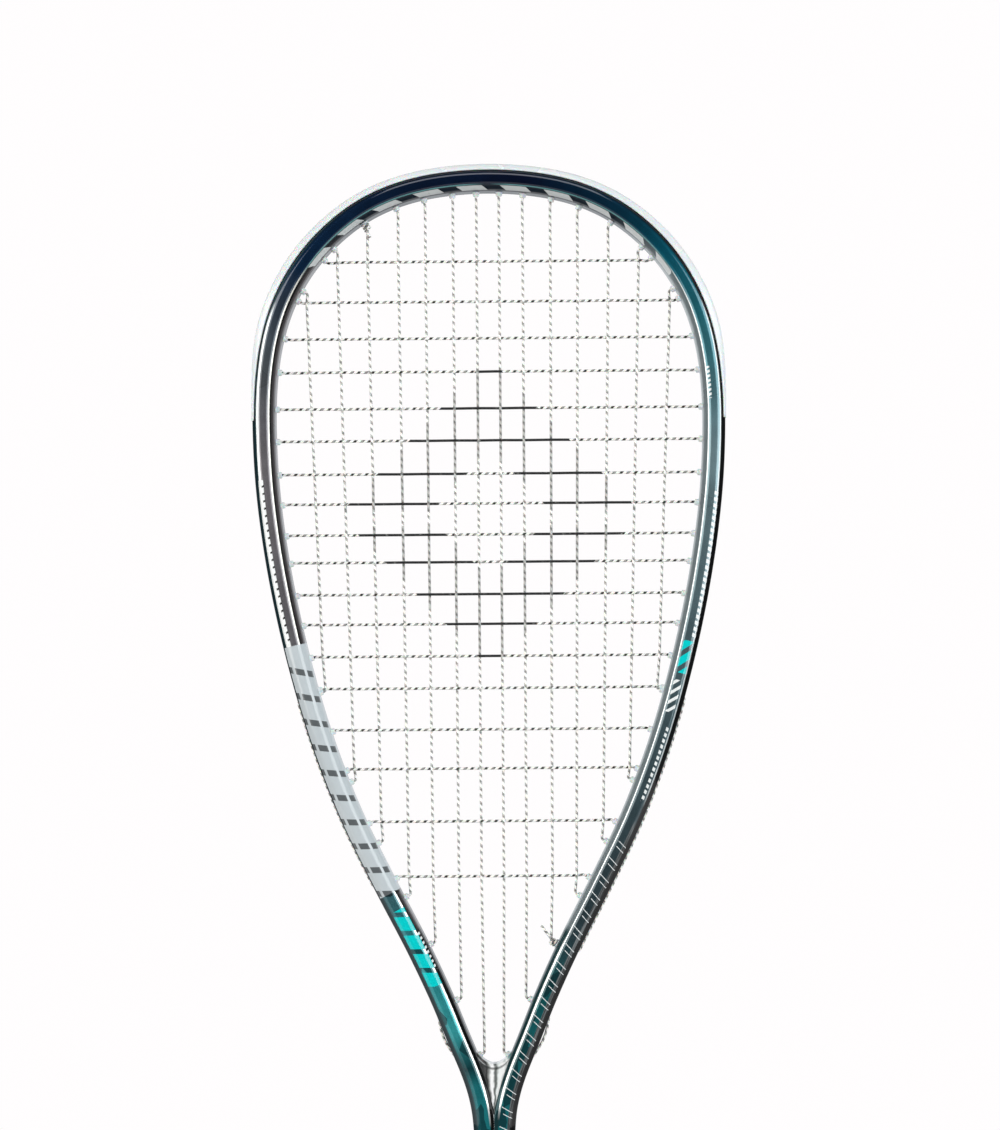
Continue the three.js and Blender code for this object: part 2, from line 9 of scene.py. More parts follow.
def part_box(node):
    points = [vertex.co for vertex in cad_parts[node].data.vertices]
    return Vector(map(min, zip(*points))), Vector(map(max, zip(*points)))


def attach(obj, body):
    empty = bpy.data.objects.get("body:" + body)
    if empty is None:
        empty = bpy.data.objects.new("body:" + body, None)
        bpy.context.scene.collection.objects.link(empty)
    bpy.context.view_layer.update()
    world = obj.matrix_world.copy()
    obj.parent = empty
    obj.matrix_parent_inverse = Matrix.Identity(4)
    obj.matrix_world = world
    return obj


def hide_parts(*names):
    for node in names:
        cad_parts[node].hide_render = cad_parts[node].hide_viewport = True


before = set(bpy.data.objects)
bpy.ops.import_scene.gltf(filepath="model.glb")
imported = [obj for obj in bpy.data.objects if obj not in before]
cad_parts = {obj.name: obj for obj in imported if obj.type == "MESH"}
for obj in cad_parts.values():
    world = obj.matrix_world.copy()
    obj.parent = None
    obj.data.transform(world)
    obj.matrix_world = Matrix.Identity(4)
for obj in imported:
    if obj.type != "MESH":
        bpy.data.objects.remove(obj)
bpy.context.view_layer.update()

MM = 0.001

# ---------------------------------------------------------------- driving dimensions, as in the CAD

LEG_X = 3.9
HEAD_OUTLINE = [
    (0, 678), (32.5, 674.3), (54.6, 665.3), (72.3, 651), (83.5, 636.5), (91, 621), (95.5, 604),
    (97.6, 585), (97.8, 568), (96.7, 545.5), (93.8, 520.5), (89.3, 494.5), (82.8, 466), (74, 435.5),
    (61.6, 402.5), (46.7, 371.5), (32.6, 344), (21.8, 320.5), (15.4, 304.5), (11.9, 296.3),
    (8.4, 287.3), (5.8, 278), (4.4, 268.5), (LEG_X, 256),
]
HALF_WIDTH = 4.85
HALF_DEPTH = 9.0
TUBE_END_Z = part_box("frame_tube")[0].z / MM
GROOVE_FLOOR, GROOVE_HALF, GROOVE_END_Z = 2.3, 2.9, 288.0
STRIP_FLOOR, STRIP_TOP, STRIP_HALF = 2.5, 3.2, 2.65
BUMPER_TOP, BUMPER_TAPER = 7.4, 45.0
BUMPER_END_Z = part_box("head_bumper")[0].z / MM
SIDE_STRIP_END_Z, ARM_STRIP_END_Z = 452.0, 354.0
REACH = 7.05

STRING_RADIUS = 0.58
WEAVE = 0.6
MAIN_X = (4.9, 15, 26.7, 38, 50.6, 62.8, 75.6)
MAIN_Z, MAIN_FAN = 530.0, 0.037
CROSS_Z = (643, 625.5, 609.5, 595, 579, 565, 550.5, 537.5, 524, 512, 498, 485, 471, 457, 439, 422,
           399, 375)
LANE_OUT, MAIN_LANE, CROSS_LANE, RUN_OUT = 4.0, -1.2, 1.2, 5.2
PAIR_SHIFT = 0.58
THROAT_BOW = 2.0
TIE_TOP, TIE_BOTTOM = 4, 2

# ---------------------------------------------------------------- the tube's middle line


def catmull_rom(points, per_span):
    """Centripetal Catmull-Rom through the points, with its ends run on straight."""
    p = np.vstack([2 * points[0] - points[1], points, 2 * points[-1] - points[-2]])
    out = []
    for i in range(1, len(p) - 2):
        p0, p1, p2, p3 = p[i - 1:i + 3]
        t = np.cumsum([0.0] + [np.linalg.norm(b - a) ** 0.5 for a, b in ((p0, p1), (p1, p2), (p2, p3))])
        u = np.linspace(t[1], t[2], per_span, endpoint=False)[:, None]

        def blend(start, end, first, last):
            return (last - u) / (last - first) * start + (u - first) / (last - first) * end

        a1, a2, a3 = blend(p0, p1, t[0], t[1]), blend(p1, p2, t[1], t[2]), blend(p2, p3, t[2], t[3])
        b1, b2 = blend(a1, a2, t[0], t[2]), blend(a2, a3, t[1], t[3])
        out.append(blend(b1, b2, t[1], t[2]))
    return np.vstack([*out, points[-1:]])


def resample(points, spacing):
    """The same path with evenly spaced points."""
    travel = path_travel(points)
    marks = np.linspace(0, travel[-1], max(2, int(round(travel[-1] / spacing)) + 1))
    return np.column_stack([np.interp(marks, travel, points[:, k]) for k in range(points.shape[1])])


def path_travel(points):
    return np.concatenate([[0], np.cumsum(np.linalg.norm(np.diff(points, axis=0), axis=1))])


def blurred(values, sigma):
    """Gaussian blur along the first axis, with the ends run on straight."""
    reach = int(math.ceil(3 * sigma))
    weights = np.exp(-0.5 * (np.arange(-reach, reach + 1) / sigma) ** 2)
    weights /= weights.sum()
    first, last = values[:1], values[-1:]
    before = 2 * first - values[reach:0:-1]
    after = 2 * last - values[-2:-reach - 2:-1]
    padded = np.vstack([before, values, after])
    return np.column_stack([np.convolve(padded[:, k], weights, "valid") for k in range(values.shape[1])])


def smooth_curve(points, sigma):
    """A blur whose shrinkage is put back, so that curvature is even and the size stays."""
    soft = blurred(points, sigma)
    return soft + blurred(points - soft, sigma)


def make_spine():
    right = np.array(HEAD_OUTLINE, float)
    left = right[:0:-1] * (-1, 1)
    head = resample(catmull_rom(np.vstack([left, right]), 24), 1.0)
    head = smooth_curve(head, 7.0)
    head = 0.5 * (head + head[::-1] * (-1, 1))
    leg = np.column_stack([np.full(220, LEG_X), np.linspace(255, TUBE_END_Z, 220)])
    whole = np.vstack([leg[::-1] * (-1, 1), head, leg])
    travel = path_travel(whole)
    tangent = np.gradient(whole, travel, axis=0)
    tangent /= np.linalg.norm(tangent, axis=1)[:, None]
    normal = np.column_stack([-tangent[:, 1], tangent[:, 0]])
    return whole, normal, travel - travel[-1] / 2


SPINE, NORMAL, ALONG = make_spine()


def spine_at(along):
    """Place and outward normal on the middle line, at a signed distance from the tip (left is < 0)."""
    place = np.column_stack([np.interp(along, ALONG, SPINE[:, k]) for k in (0, 1)])
    normal = np.column_stack([np.interp(along, ALONG, NORMAL[:, k]) for k in (0, 1)])
    return place, normal / np.linalg.norm(normal, axis=1)[:, None]


def beside(along, out, y=0.0):
    """Points beside the middle line: so far outward, at a height y off the plane of the strings."""
    along, out, y = np.broadcast_arrays(np.atleast_1d(along).astype(float), out, y)
    place, normal = spine_at(along)
    place = place + normal * out[:, None]
    return np.column_stack([place[:, 0], y, place[:, 1]])


def along_at_height(z, side):
    """Signed distance from the tip where the middle line passes a height."""
    half = ALONG >= 0
    return side * float(np.interp(-z, -SPINE[half, 1], ALONG[half]))


def nearest(point):
    """Distance from a point in the string plane to the middle line, and where."""
    start, step = SPINE[:-1], np.diff(SPINE, axis=0)
    length = np.linalg.norm(step, axis=1)
    part = np.clip(((point - start) * step).sum(1) / length ** 2, 0, 1)
    gap = np.linalg.norm(start + step * part[:, None] - point, axis=1)
    i = int(np.argmin(gap))
    return float(gap[i]), float(ALONG[i] + part[i] * length[i])


# ---------------------------------------------------------------- meshes


def in_scene(name, data):
    made = bpy.data.objects.new(name, data)
    bpy.context.scene.collection.objects.link(made)
    return made


def mesh_object(name, vertices, faces, uv=None, **attributes):
    """A smooth-shaded mesh from millimetre vertices, with float attributes on its points."""
    mesh = bpy.data.meshes.new(name)
    mesh.from_pydata((np.asarray(vertices) * MM).tolist(), [], [tuple(map(int, f)) for f in faces])
    for key, values in attributes.items():
        layer = mesh.attributes.new(key, "FLOAT", "POINT")
        layer.data.foreach_set("value", np.asarray(values, np.float32))
    if uv is None:
        face_outward(mesh)
    else:
        layer = mesh.uv_layers.new(name="turns")
        layer.data.foreach_set("uv", np.asarray(uv, np.float32).ravel())
    mesh.shade_smooth()
    mesh.update()
    return in_scene(name, mesh)


def face_outward(mesh):
    work = bmesh.new()
    work.from_mesh(mesh)
    bmesh.ops.recalc_face_normals(work, faces=work.faces)
    work.to_mesh(mesh)
    work.free()


def grid_faces(rings, sides, offset=0):
    """Quads between neighbouring closed rings."""
    i = np.arange(rings - 1)[:, None] * sides
    j = np.arange(sides)[None, :]
    k = (j + 1) % sides
    quads = np.stack([i + j, i + k, i + sides + k, i + sides + j], axis=-1)
    return quads.reshape(-1, 4) + offset


def end_caps(rings, sides, offset=0):
    first = tuple(range(offset + sides - 1, offset - 1, -1))
    last = tuple(range(offset + (rings - 1) * sides, offset + rings * sides))
    return [first, last]


class Parts:
    """Gathers shells into one mesh."""

    def __init__(self):
        self.vertices, self.faces, self.extra = [], [], {}
        self.count = 0

    def add(self, vertices, faces, **attributes):
        vertices = np.asarray(vertices, float).reshape(-1, 3)
        self.faces += [tuple(int(v) + self.count for v in face) for face in faces]
        self.vertices.append(vertices)
        for key, values in attributes.items():
            self.extra.setdefault(key, []).append(np.broadcast_to(values, len(vertices)))
        self.count += len(vertices)

    def grid(self, rings, caps=True, **attributes):
        """A tube of closed rings, shaped (rings, sides, 3)."""
        count, sides = rings.shape[:2]
        faces = list(map(tuple, grid_faces(count, sides)))
        if caps:
            faces += end_caps(count, sides)
        self.add(rings.reshape(-1, 3), faces, **attributes)

    def make(self, name):
        extra = {key: np.concatenate(values) for key, values in self.extra.items()}
        return mesh_object(name, np.vstack(self.vertices), self.faces, **extra)


def rounded(corners, steps=6):
    """A closed outline with each (x, y, radius) corner rounded by an arc of points."""
    places = [np.array((x, y), float) for x, y, _ in corners]
    out = []
    for i, (_, _, radius) in enumerate(corners):
        here = places[i]
        back, on = places[i - 1] - here, places[(i + 1) % len(places)] - here
        back_length, on_length = np.linalg.norm(back), np.linalg.norm(on)
        back, on = back / back_length, on / on_length
        half = math.acos(np.clip(back @ on, -1, 1)) / 2
        cut = min(radius / math.tan(half), 0.49 * back_length, 0.49 * on_length)
        start, end = here + back * cut, here + on * cut
        for t in np.linspace(0, 1, steps):
            out.append((1 - t) ** 2 * start + 2 * t * (1 - t) * here + t ** 2 * end)
    return np.array(out)


def mirrored(corners):
    """The same corners behind the string plane, in order round the outline."""
    return [(out, -y, radius) for out, y, radius in reversed(corners)]


def finish_piece(piece, material, slot, *nodes):
    piece.data.materials.clear()
    piece.data.materials.append(material)
    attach(piece, "root")
    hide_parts(*nodes)


def finish_rings(name, rings, material, slot, node):
    """A piece that is one closed tube of rings."""
    parts = Parts()
    parts.grid(np.array(rings))
    finish_piece(parts.make(name), material, slot, node)


# ---------------------------------------------------------------- materials


NOISE_RANGE = (0.3, 0.7)


class Value:
    """A number on its way between shader nodes, so that sums and masks are written as arithmetic."""

    def __init__(self, shader, socket):
        self.shader, self.socket = shader, socket


def as_node(operation):
    return lambda value, *others: value.shader.math(operation, value, *others)


for method, operation in (("add", "ADD"), ("sub", "SUBTRACT"), ("mul", "MULTIPLY"), ("truediv", "DIVIDE"),
                          ("pow", "POWER"), ("mod", "FLOORED_MODULO"), ("lt", "LESS_THAN"),
                          ("gt", "GREATER_THAN"), ("abs", "ABSOLUTE")):
    setattr(Value, f"__{method}__", as_node(operation))


class Shader:
    """A Principled material, with short calls for the nodes that drive it."""

    def __init__(self, name, **values):
        self.material = bpy.data.materials.new(name)
        self.material.use_nodes = True
        self.tree = self.material.node_tree
        self.surface = self.tree.nodes["Principled BSDF"]
        for key, value in values.items():
            self.surface.inputs[key.replace("_", " ")].default_value = value

    def node(self, kind, **settings):
        made = self.tree.nodes.new(kind)
        for key, value in settings.items():
            setattr(made, key, value)
        return made

    def put(self, value, socket):
        if isinstance(value, Value):
            value = value.socket
        if isinstance(value, bpy.types.NodeSocket):
            self.tree.links.new(value, socket)
        else:
            socket.default_value = value

    def fill(self, made, *values):
        for value, socket in zip(values, made.inputs):
            self.put(value, socket)
        return made

    def drive(self, key, value):
        self.put(value, self.surface.inputs[key])

    def math(self, operation, *values):
        made = self.fill(self.node("ShaderNodeMath", operation=operation), *values)
        return Value(self, made.outputs[0])

    def attribute(self, name):
        return Value(self, self.node("ShaderNodeAttribute", attribute_name=name).outputs["Fac"])

    def split(self, vector):
        made = self.fill(self.node("ShaderNodeSeparateXYZ"), vector)
        return [Value(self, socket) for socket in made.outputs]

    def vector(self, x, y, z):
        return self.fill(self.node("ShaderNodeCombineXYZ"), x, y, z).outputs[0]

    def place(self):
        """Object coordinates in millimetres, as x, y and z."""
        scaled = self.node("ShaderNodeVectorMath", operation="SCALE")
        self.put(self.node("ShaderNodeTexCoord").outputs["Object"], scaled.inputs[0])
        scaled.inputs["Scale"].default_value = 1 / MM
        return self.split(scaled.outputs[0])

    def spot(self):
        return self.vector(*self.place())

    def noise(self, vector, scale, detail=2.0, roughness=0.5):
        made = self.node("ShaderNodeTexNoise")
        settings = {"Vector": vector, "Scale": scale, "Detail": detail, "Roughness": roughness}
        for key, value in settings.items():
            self.put(value, made.inputs[key])
        return Value(self, made.outputs["Fac"])

    def cells(self, vector, scale):
        made = self.node("ShaderNodeTexVoronoi")
        self.put(vector, made.inputs["Vector"])
        made.inputs["Scale"].default_value = scale
        return made.outputs

    def random_cells(self, vector, scale):
        """Cells that each have one random shade from 0 to 1."""
        split = self.fill(self.node("ShaderNodeSeparateColor"), self.cells(vector, scale)["Color"])
        return Value(self, split.outputs[0])

    def spread(self, value, low, high, to_low=0.0, to_high=1.0, smooth=False):
        kind = "SMOOTHSTEP" if smooth else "LINEAR"
        made = self.node("ShaderNodeMapRange", interpolation_type=kind)
        return Value(self, self.fill(made, value, low, high, to_low, to_high).outputs[0])

    def within(self, value, low, high, soft=0.12):
        """1 inside a range, 0 outside, with a narrow soft edge."""
        middle, half = (low + high) / 2, (high - low) / 2
        return self.spread(abs(value - middle), half + soft / 2, half - soft / 2)

    def any_of(self, *masks):
        total = masks[0]
        for mask in masks[1:]:
            total = self.math("MAXIMUM", total, mask)
        return total

    def mix(self, amount, first, second):
        made = self.node("ShaderNodeMix", data_type="RGBA")
        for value, socket in zip((amount, first, second), (made.inputs[0], made.inputs[6], made.inputs[7])):
            self.put(value, socket)
        return made.outputs[2]

    def ramp(self, value, stops):
        """A colour band through (position, colour) stops, with colours as 0 to 255."""
        made = self.fill(self.node("ShaderNodeValToRGB"), value)
        band = made.color_ramp
        while len(band.elements) < len(stops):
            band.elements.new(0.5)
        for element, (position, colour) in zip(band.elements, sorted(stops, key=lambda stop: stop[0])):
            element.position = position
            element.color = paint(*colour)
        return made.outputs[0]

    def clouded(self, noise, first, second):
        """One colour fading into another as a noise does."""
        return self.ramp(noise, list(zip(NOISE_RANGE, (first, second))))

    def bump(self, height, distance, strength=1.0):
        made = self.node("ShaderNodeBump")
        made.inputs["Strength"].default_value = strength
        made.inputs["Distance"].default_value = distance * MM
        self.put(height, made.inputs["Height"])
        self.drive("Normal", made.outputs[0])


def paint(red, green, blue):
    """A linear colour from an sRGB one written as 0 to 255."""
    values = []
    for value in (red, green, blue):
        share = value / 255
        values.append(share / 12.92 if share <= 0.04045 else ((share + 0.055) / 1.055) ** 2.4)
    return (*values, 1.0)


# ---------------------------------------------------------------- lacquered graphite

# Base colour down the tube: side, height of the middle line, colour
TUBE_COLOURS = [
    (-1, 255, (24, 112, 118)), (-1, 286, (28, 116, 122)), (-1, 290, (12, 58, 64)), (-1, 298, (14, 66, 72)),
    (-1, 303, (56, 158, 162)), (-1, 345, (44, 138, 144)), (-1, 372, (66, 98, 106)),
    (-1, 430, (104, 104, 108)), (-1, 555, (118, 114, 118)), (-1, 600, (76, 84, 90)), (-1, 640, (4, 34, 62)),
    (1, 677, (0, 8, 36)), (1, 664, (0, 44, 66)), (1, 645, (0, 74, 92)), (1, 620, (32, 100, 112)),
    (1, 600, (60, 116, 126)), (1, 560, (112, 136, 142)), (1, 480, (78, 98, 104)), (1, 430, (66, 84, 90)),
    (1, 350, (44, 60, 66)), (1, 322, (18, 88, 92)), (1, 255, (26, 112, 118)),
]
# Painted reflections across the bevels, dark and light, from 5 mm inward of the middle line to 5 mm outward,
# for each side
LEFT_BEVEL_REFLECTIONS = [(0.0, (112, 108, 110)), (0.07, (84, 80, 82)), (0.17, (10, 10, 12)), (0.25, (4, 5, 7)),
               (0.75, (44, 76, 82)), (0.86, (12, 46, 52)), (1.0, (6, 26, 32))]
RIGHT_BEVEL_REFLECTIONS = [(0.0, (160, 168, 170)), (0.1, (122, 132, 136)), (0.25, (92, 104, 108)),
                (0.75, (10, 12, 14)), (1.0, (2, 3, 4))]
# Painted highlights as thin pale lines along the two ridges: side, from and to which heights, outward from
# and to, colour
PAINTED_RIDGE_HIGHLIGHTS = [
    (-1, (620, 476), (1.95, 3.0), (222, 228, 230)), (-1, (640, 376), (-2.8, -2.25), (218, 216, 208)),
    (-1, (376, 271), (-3.05, -2.35), (248, 249, 247)), (1, (620, 410), (2.35, 2.9), (196, 204, 206)),
    (1, (640, 340), (-2.75, -2.35), (222, 226, 226)), (1, (344, 274), (-3.15, -2.3), (248, 249, 247)),
    (-1, (677.9, 640), (-2.75, -2.3), (86, 140, 142)), (1, (677.9, 640), (-2.75, -2.3), (86, 140, 142)),
]
SILVER, WHITE_INK, CYAN_INK = paint(186, 194, 198), paint(226, 230, 230), paint(0, 196, 196)
DARK_INK, PATCH_INK = paint(12, 16, 20), paint(8, 44, 50)
PANEL = (-1, (476, 368), (-5.2, 4.2))
WHITE_BAND = (-1, (548, 476), (1.0, 3.2))
# Rows of bars: side, from and to which heights, outward from and to, period, painted share, slant
DARK_BARS = [(-1, (470, 367), outs, 11.5, 0.25, -0.47) for outs in ((-1.9, 1.9), (-5.2, -2.9), (3.0, 5.2))]
BAND_TICKS = (-1, (546, 478), (0.9, 1.9), 3.2, 0.3, 0.3)
PALE_TICKS = [
    (1, (542, 478), (1.3, 3.0), 2.7, 0.58, -0.3), (1, (440, 408), (0.6, 1.8), 2.6, 0.6, -0.3),
    (1, (460, 446), (-1.8, 1.8), 4.4, 0.4, 1.0), (1, (596, 582), (-2.2, -1.0), 2.0, 0.55, 0.3),
    (-1, (350, 334), (-4.0, -2.9), 2.2, 0.5, 0.3),
]
CYAN_BARS = [(-1, (361, 328), (-3.2, 2.7), 9.0, 0.74, -0.47), (1, (477, 463), (-1.8, 2.4), 7.2, 0.6, 1.0)]
# Slanted blocks inside the top of the head
BLOCK_REACH, BLOCK_OUTS, BLOCK_PERIOD, BLOCK_SPAN, BLOCK_SLANT = 96, (-4.6, -2.95), 19.5, (1.0, 12.4), 1.6
# Thin strokes across the right arm, two by two
STROKE_HEIGHTS, STROKE_PERIOD, STROKE_WIDTH, STROKE_SLANT = (390, 262), 8.4, 0.32, -0.4
# Angular patches and a painted darker reflection on the inner bevels start at the first height, and a
# streaked outer half of the right arm at the second. The head's dark navy bevel colour fades in between the
# last two.
PATCHES_BELOW, STREAKS_BELOW, TOP_BEVELS = 352, 400, (640, 664)
REACH_ALONG = 1000.0


def tube_ramp(shader, along):
    stops = [(along_at_height(z, side) / (2 * REACH_ALONG) + 0.5, colour) for side, z, colour in TUBE_COLOURS]
    return shader.ramp(shader.spread(along, -REACH_ALONG, REACH_ALONG), stops)


def repeating(shader, along, out, period, slant):
    """The distance into each repeat of a row that leans by a slant."""
    return shader.math("WRAP", out * slant + along, period, 0.0)


def decal(shader, along, out, side, heights, outs, period=None, share=0.5, slant=0.0, soft=0.12):
    """A patch of paint between two heights, or a row of slanted bars there."""
    ends = sorted(along_at_height(z, side) for z in heights)
    mask = shader.within(along, *ends, soft=soft) * shader.within(out, *outs, soft=0.1)
    if period is None:
        return mask
    phase = repeating(shader, along, out, period, slant)
    return mask * shader.within(phase, 0.08 * period, (0.08 + share) * period)


def paired_strokes(shader, along, out):
    ends = sorted(along_at_height(z, 1) for z in STROKE_HEIGHTS)
    phase = repeating(shader, along, out, STROKE_PERIOD, STROKE_SLANT)
    pair = [shader.within(phase, start, start + STROKE_WIDTH) * shader.within(out, inner, 3.0)
            for start, inner in ((0.4, -2.0), (2.9, -1.0))]
    return shader.any_of(*pair) * shader.within(along, *ends)


def top_blocks(shader, along, out):
    phase = repeating(shader, along, out, BLOCK_PERIOD, BLOCK_SLANT)
    in_place = shader.within(along, -BLOCK_REACH, BLOCK_REACH) * shader.within(out, *BLOCK_OUTS)
    return in_place * shader.within(phase, *BLOCK_SPAN)


def graphite_material():
    shader = Shader("lacquered_graphite", Metallic=0.5, Roughness=0.28, Coat_Weight=1.0,
                    Coat_Roughness=0.03, Coat_IOR=1.5, Specular_IOR_Level=0.08)
    along, out, depth = (shader.attribute(key) for key in ("along", "out", "depth"))
    spot = shader.vector(along, out, depth)
    right = shader.spread(along, -8, 8)
    away = abs(along)
    off_middle = abs(out)
    faces = shader.spread(abs(depth), 4.2, 4.6)

    def below(z):
        start = along_at_height(z, 1)
        return shader.spread(away, start, start + 3)

    def painted(*row, **settings):
        return decal(shader, along, out, *row, **settings)

    # fine metal flake, and a slow drift of shade along the laminate
    flake = shader.random_cells(spot, 9.0)
    drift = shader.noise(spot, 0.06, 3.0)
    tint = shader.node("ShaderNodeHueSaturation")
    shader.put(tube_ramp(shader, along), tint.inputs["Color"])
    shader.put(flake * 0.4 + shader.spread(drift, *NOISE_RANGE, 0.65, 0.98), tint.inputs["Value"])
    colour = tint.outputs[0]

    # angular dark patches low on both arms, and a streaked outer half on the right one
    tiles = shader.random_cells(shader.vector(along / 9.0, out / 4.5, 0.0), 1.0)
    patches = below(PATCHES_BELOW) * shader.spread(tiles, 0.56, 0.6) * 0.75
    colour = shader.mix(patches, colour, PATCH_INK)
    streaks = shader.ramp(shader.noise(shader.vector(along * 0.06, out * 1.5, depth), 1.0),
                          [(0.38, (16, 20, 22)), (0.62, (108, 114, 116))])
    outer_half = right * below(STREAKS_BELOW) * shader.spread(out, 1.2, 1.5)
    colour = shader.mix(outer_half, colour, streaks)

    # painted reflections on the bevels: dark and light bands across them, a darker reflection low on the
    # inner bevels, and dark navy bevels on the head
    across = shader.spread(out, -5, 5)
    bevel_reflections = shader.mix(right, shader.ramp(across, LEFT_BEVEL_REFLECTIONS), shader.ramp(across, RIGHT_BEVEL_REFLECTIONS))
    darker_low_reflection = below(PATCHES_BELOW) * shader.spread(out, -2.0, -2.6)
    bevel_reflections = shader.mix(darker_low_reflection, bevel_reflections, shader.mix(right, paint(10, 12, 13), paint(26, 58, 62)))
    top = shader.spread(away, *(along_at_height(z, 1) for z in TOP_BEVELS))
    bevel_reflections = shader.mix(top, bevel_reflections, paint(8, 24, 38))
    colour = shader.mix(shader.spread(off_middle, 2.4, 2.9), colour, bevel_reflections)

    # painted highlights as pale ridge lines, then the panel, and the white, dark and cyan paint
    for side, heights, outs, shade in PAINTED_RIDGE_HIGHLIGHTS:
        colour = shader.mix(faces * painted(side, heights, outs, soft=9.0), colour, paint(*shade))
    panel = painted(*PANEL)
    colour = shader.mix(panel, colour, SILVER)
    ticks = [painted(*row) for row in PALE_TICKS]
    whites = shader.any_of(painted(*WHITE_BAND), *ticks, paired_strokes(shader, along, out),
                           top_blocks(shader, along, out) * 0.72)
    bars = shader.any_of(*(painted(*row) for row in DARK_BARS))
    cyan = shader.any_of(*(painted(*row) for row in CYAN_BARS))
    colour = shader.mix(faces * whites, colour, WHITE_INK)
    colour = shader.mix(faces * shader.any_of(painted(*BAND_TICKS), bars * 0.8), colour, DARK_INK)
    shader.drive("Base Color", shader.mix(faces * cyan, colour, CYAN_INK))

    inked = shader.any_of(faces * shader.any_of(whites, cyan), panel)
    shader.drive("Metallic", shader.spread(inked, 0, 1, 0.45, 0.0))
    shader.drive("Roughness", shader.spread(drift, *NOISE_RANGE, 0.26, 0.34))
    # the bevels have less gloss, to match the photo
    shader.drive("Coat Weight", shader.spread(off_middle, 2.7, 3.5, 1.0, 0.35))
    shader.bump(shader.noise(spot, 0.9), 0.012)
    return shader.material


# ---------------------------------------------------------------- frame

SECTION_HALF = [(4.85, 5.3, 1.4), (2.45, 8.72, 2.6), (-2.3, 8.72, 2.6), (-4.35, 6.3, 2.2), (-4.85, 4.0, 1.2)]
CROWN = 0.28
LEGS_MERGE, LEGS_TOUCH = (290.0, 266.0), 300.0


def tube_section():
    """The head's section as (outward, front-to-back) points, groove included."""
    lip = [(HALF_WIDTH, -GROOVE_HALF, 0.45), (GROOVE_FLOOR, -GROOVE_HALF, 0.5)]
    section = rounded([*SECTION_HALF, *mirrored(SECTION_HALF), *lip, *mirrored(lip)], steps=7)
    crown = CROWN * np.clip(1 - (section[:, 0] / 2.35) ** 2, 0, 1)
    on_face = np.abs(section[:, 1]) > 8
    section[:, 1] += np.where(on_face, np.sign(section[:, 1]) * crown, 0)
    return section


def smoothstep(value, low, high):
    part = np.clip((value - low) / (high - low), 0, 1)
    return part * part * (3 - 2 * part)


def subdivided(section, longest):
    """More points on an outline's long sides."""
    out = []
    for here, on in zip(section, np.roll(section, -1, axis=0)):
        pieces = max(1, int(math.ceil(np.linalg.norm(on - here) / longest)))
        out += [here + (on - here) * k / pieces for k in range(pieces)]
    return np.array(out)


def tube_stations():
    head = np.arange(0, along_at_height(256, 1), 2.0)
    leg = np.arange(along_at_height(256, 1), ALONG[-1], 6.0)
    half = np.concatenate([head, leg, [ALONG[-1]]])
    return np.concatenate([-half[:0:-1], half])


def repeated_section(section, count):
    """A section's outward and front-to-back distances, once for each ring."""
    return np.tile(section[:, 0], (count, 1)), np.tile(section[:, 1], (count, 1))


def swept(marks, out, depth):
    """Rings along the tube, from the outward and front-to-back distances of their points."""
    place, normal = spine_at(marks)
    x = place[:, None, 0] + normal[:, None, 0] * out
    z = place[:, None, 1] + normal[:, None, 1] * out
    return np.stack([x, depth, z], axis=-1)


def make_frame(material):
    section = subdivided(tube_section(), 1.2)
    stations = tube_stations()
    heights = spine_at(stations)[0][:, 1:]
    out, depth = repeated_section(section, len(stations))

    # the groove fades out above the throat
    in_groove = (np.abs(depth) < GROOVE_HALF + 0.05) & (out > 0)
    shut = smoothstep(heights, GROOVE_END_Z + 8, GROOVE_END_Z - 2)
    out = np.where(in_groove, out + (HALF_WIDTH - out) * shut, out)

    # the legs run together into one shaft, where neither crosses the middle
    bevel = (out < 0) & (np.abs(depth) > 4)
    full = np.sign(depth) * (HALF_DEPTH - 0.03)
    depth = np.where(bevel, depth + (full - depth) * smoothstep(heights, *LEGS_MERGE), depth)
    rings = swept(stations, out, depth)
    crossing_over = (heights < LEGS_TOUCH) & (rings[..., 0] * np.sign(stations)[:, None] < 0)
    rings[..., 0] = np.where(crossing_over, 0.0, rings[..., 0])

    parts = Parts()
    parts.grid(rings, along=np.repeat(stations, len(section)), out=out.ravel(), depth=depth.ravel())
    made = parts.make("frame_shell")
    weld_middle(made.data)
    finish_piece(made, material, "lacquered_graphite", "frame_tube")


def weld_middle(mesh):
    """Takes out the wall between the two legs and joins their skins."""
    work = bmesh.new()
    work.from_mesh(mesh)

    def in_middle(vertex):
        return abs(vertex.co.x) < 1e-7 and vertex.co.z < LEGS_TOUCH * MM

    inside = [face for face in work.faces if all(map(in_middle, face.verts))]
    bmesh.ops.delete(work, geom=inside, context="FACES")
    bmesh.ops.remove_doubles(work, verts=list(filter(in_middle, work.verts)), dist=1e-6)
    loose = [vertex for vertex in work.verts if not vertex.link_faces]
    bmesh.ops.delete(work, geom=loose, context="VERTS")
    bmesh.ops.recalc_face_normals(work, faces=work.faces)
    work.to_mesh(mesh)
    work.free()


# Painted reflections as light and dark streaks across the web, from its left edge to its right
WEB_REFLECTION_STREAKS = [
    (0.0, (12, 12, 13)), (0.17, (24, 24, 24)), (0.24, (84, 84, 84)), (0.29, (34, 34, 34)),
    (0.35, (146, 148, 146)), (0.4, (255, 255, 255)), (0.46, (255, 255, 255)), (0.5, (122, 126, 124)),
    (0.54, (90, 96, 94)), (0.59, (242, 247, 246)), (0.68, (255, 255, 255)), (0.76, (206, 212, 212)),
    (0.82, (246, 248, 247)), (0.9, (110, 150, 150)), (1.0, (24, 70, 74)),
]
WEB_TOP, WEB_FLOOR = 293.6, 262.0


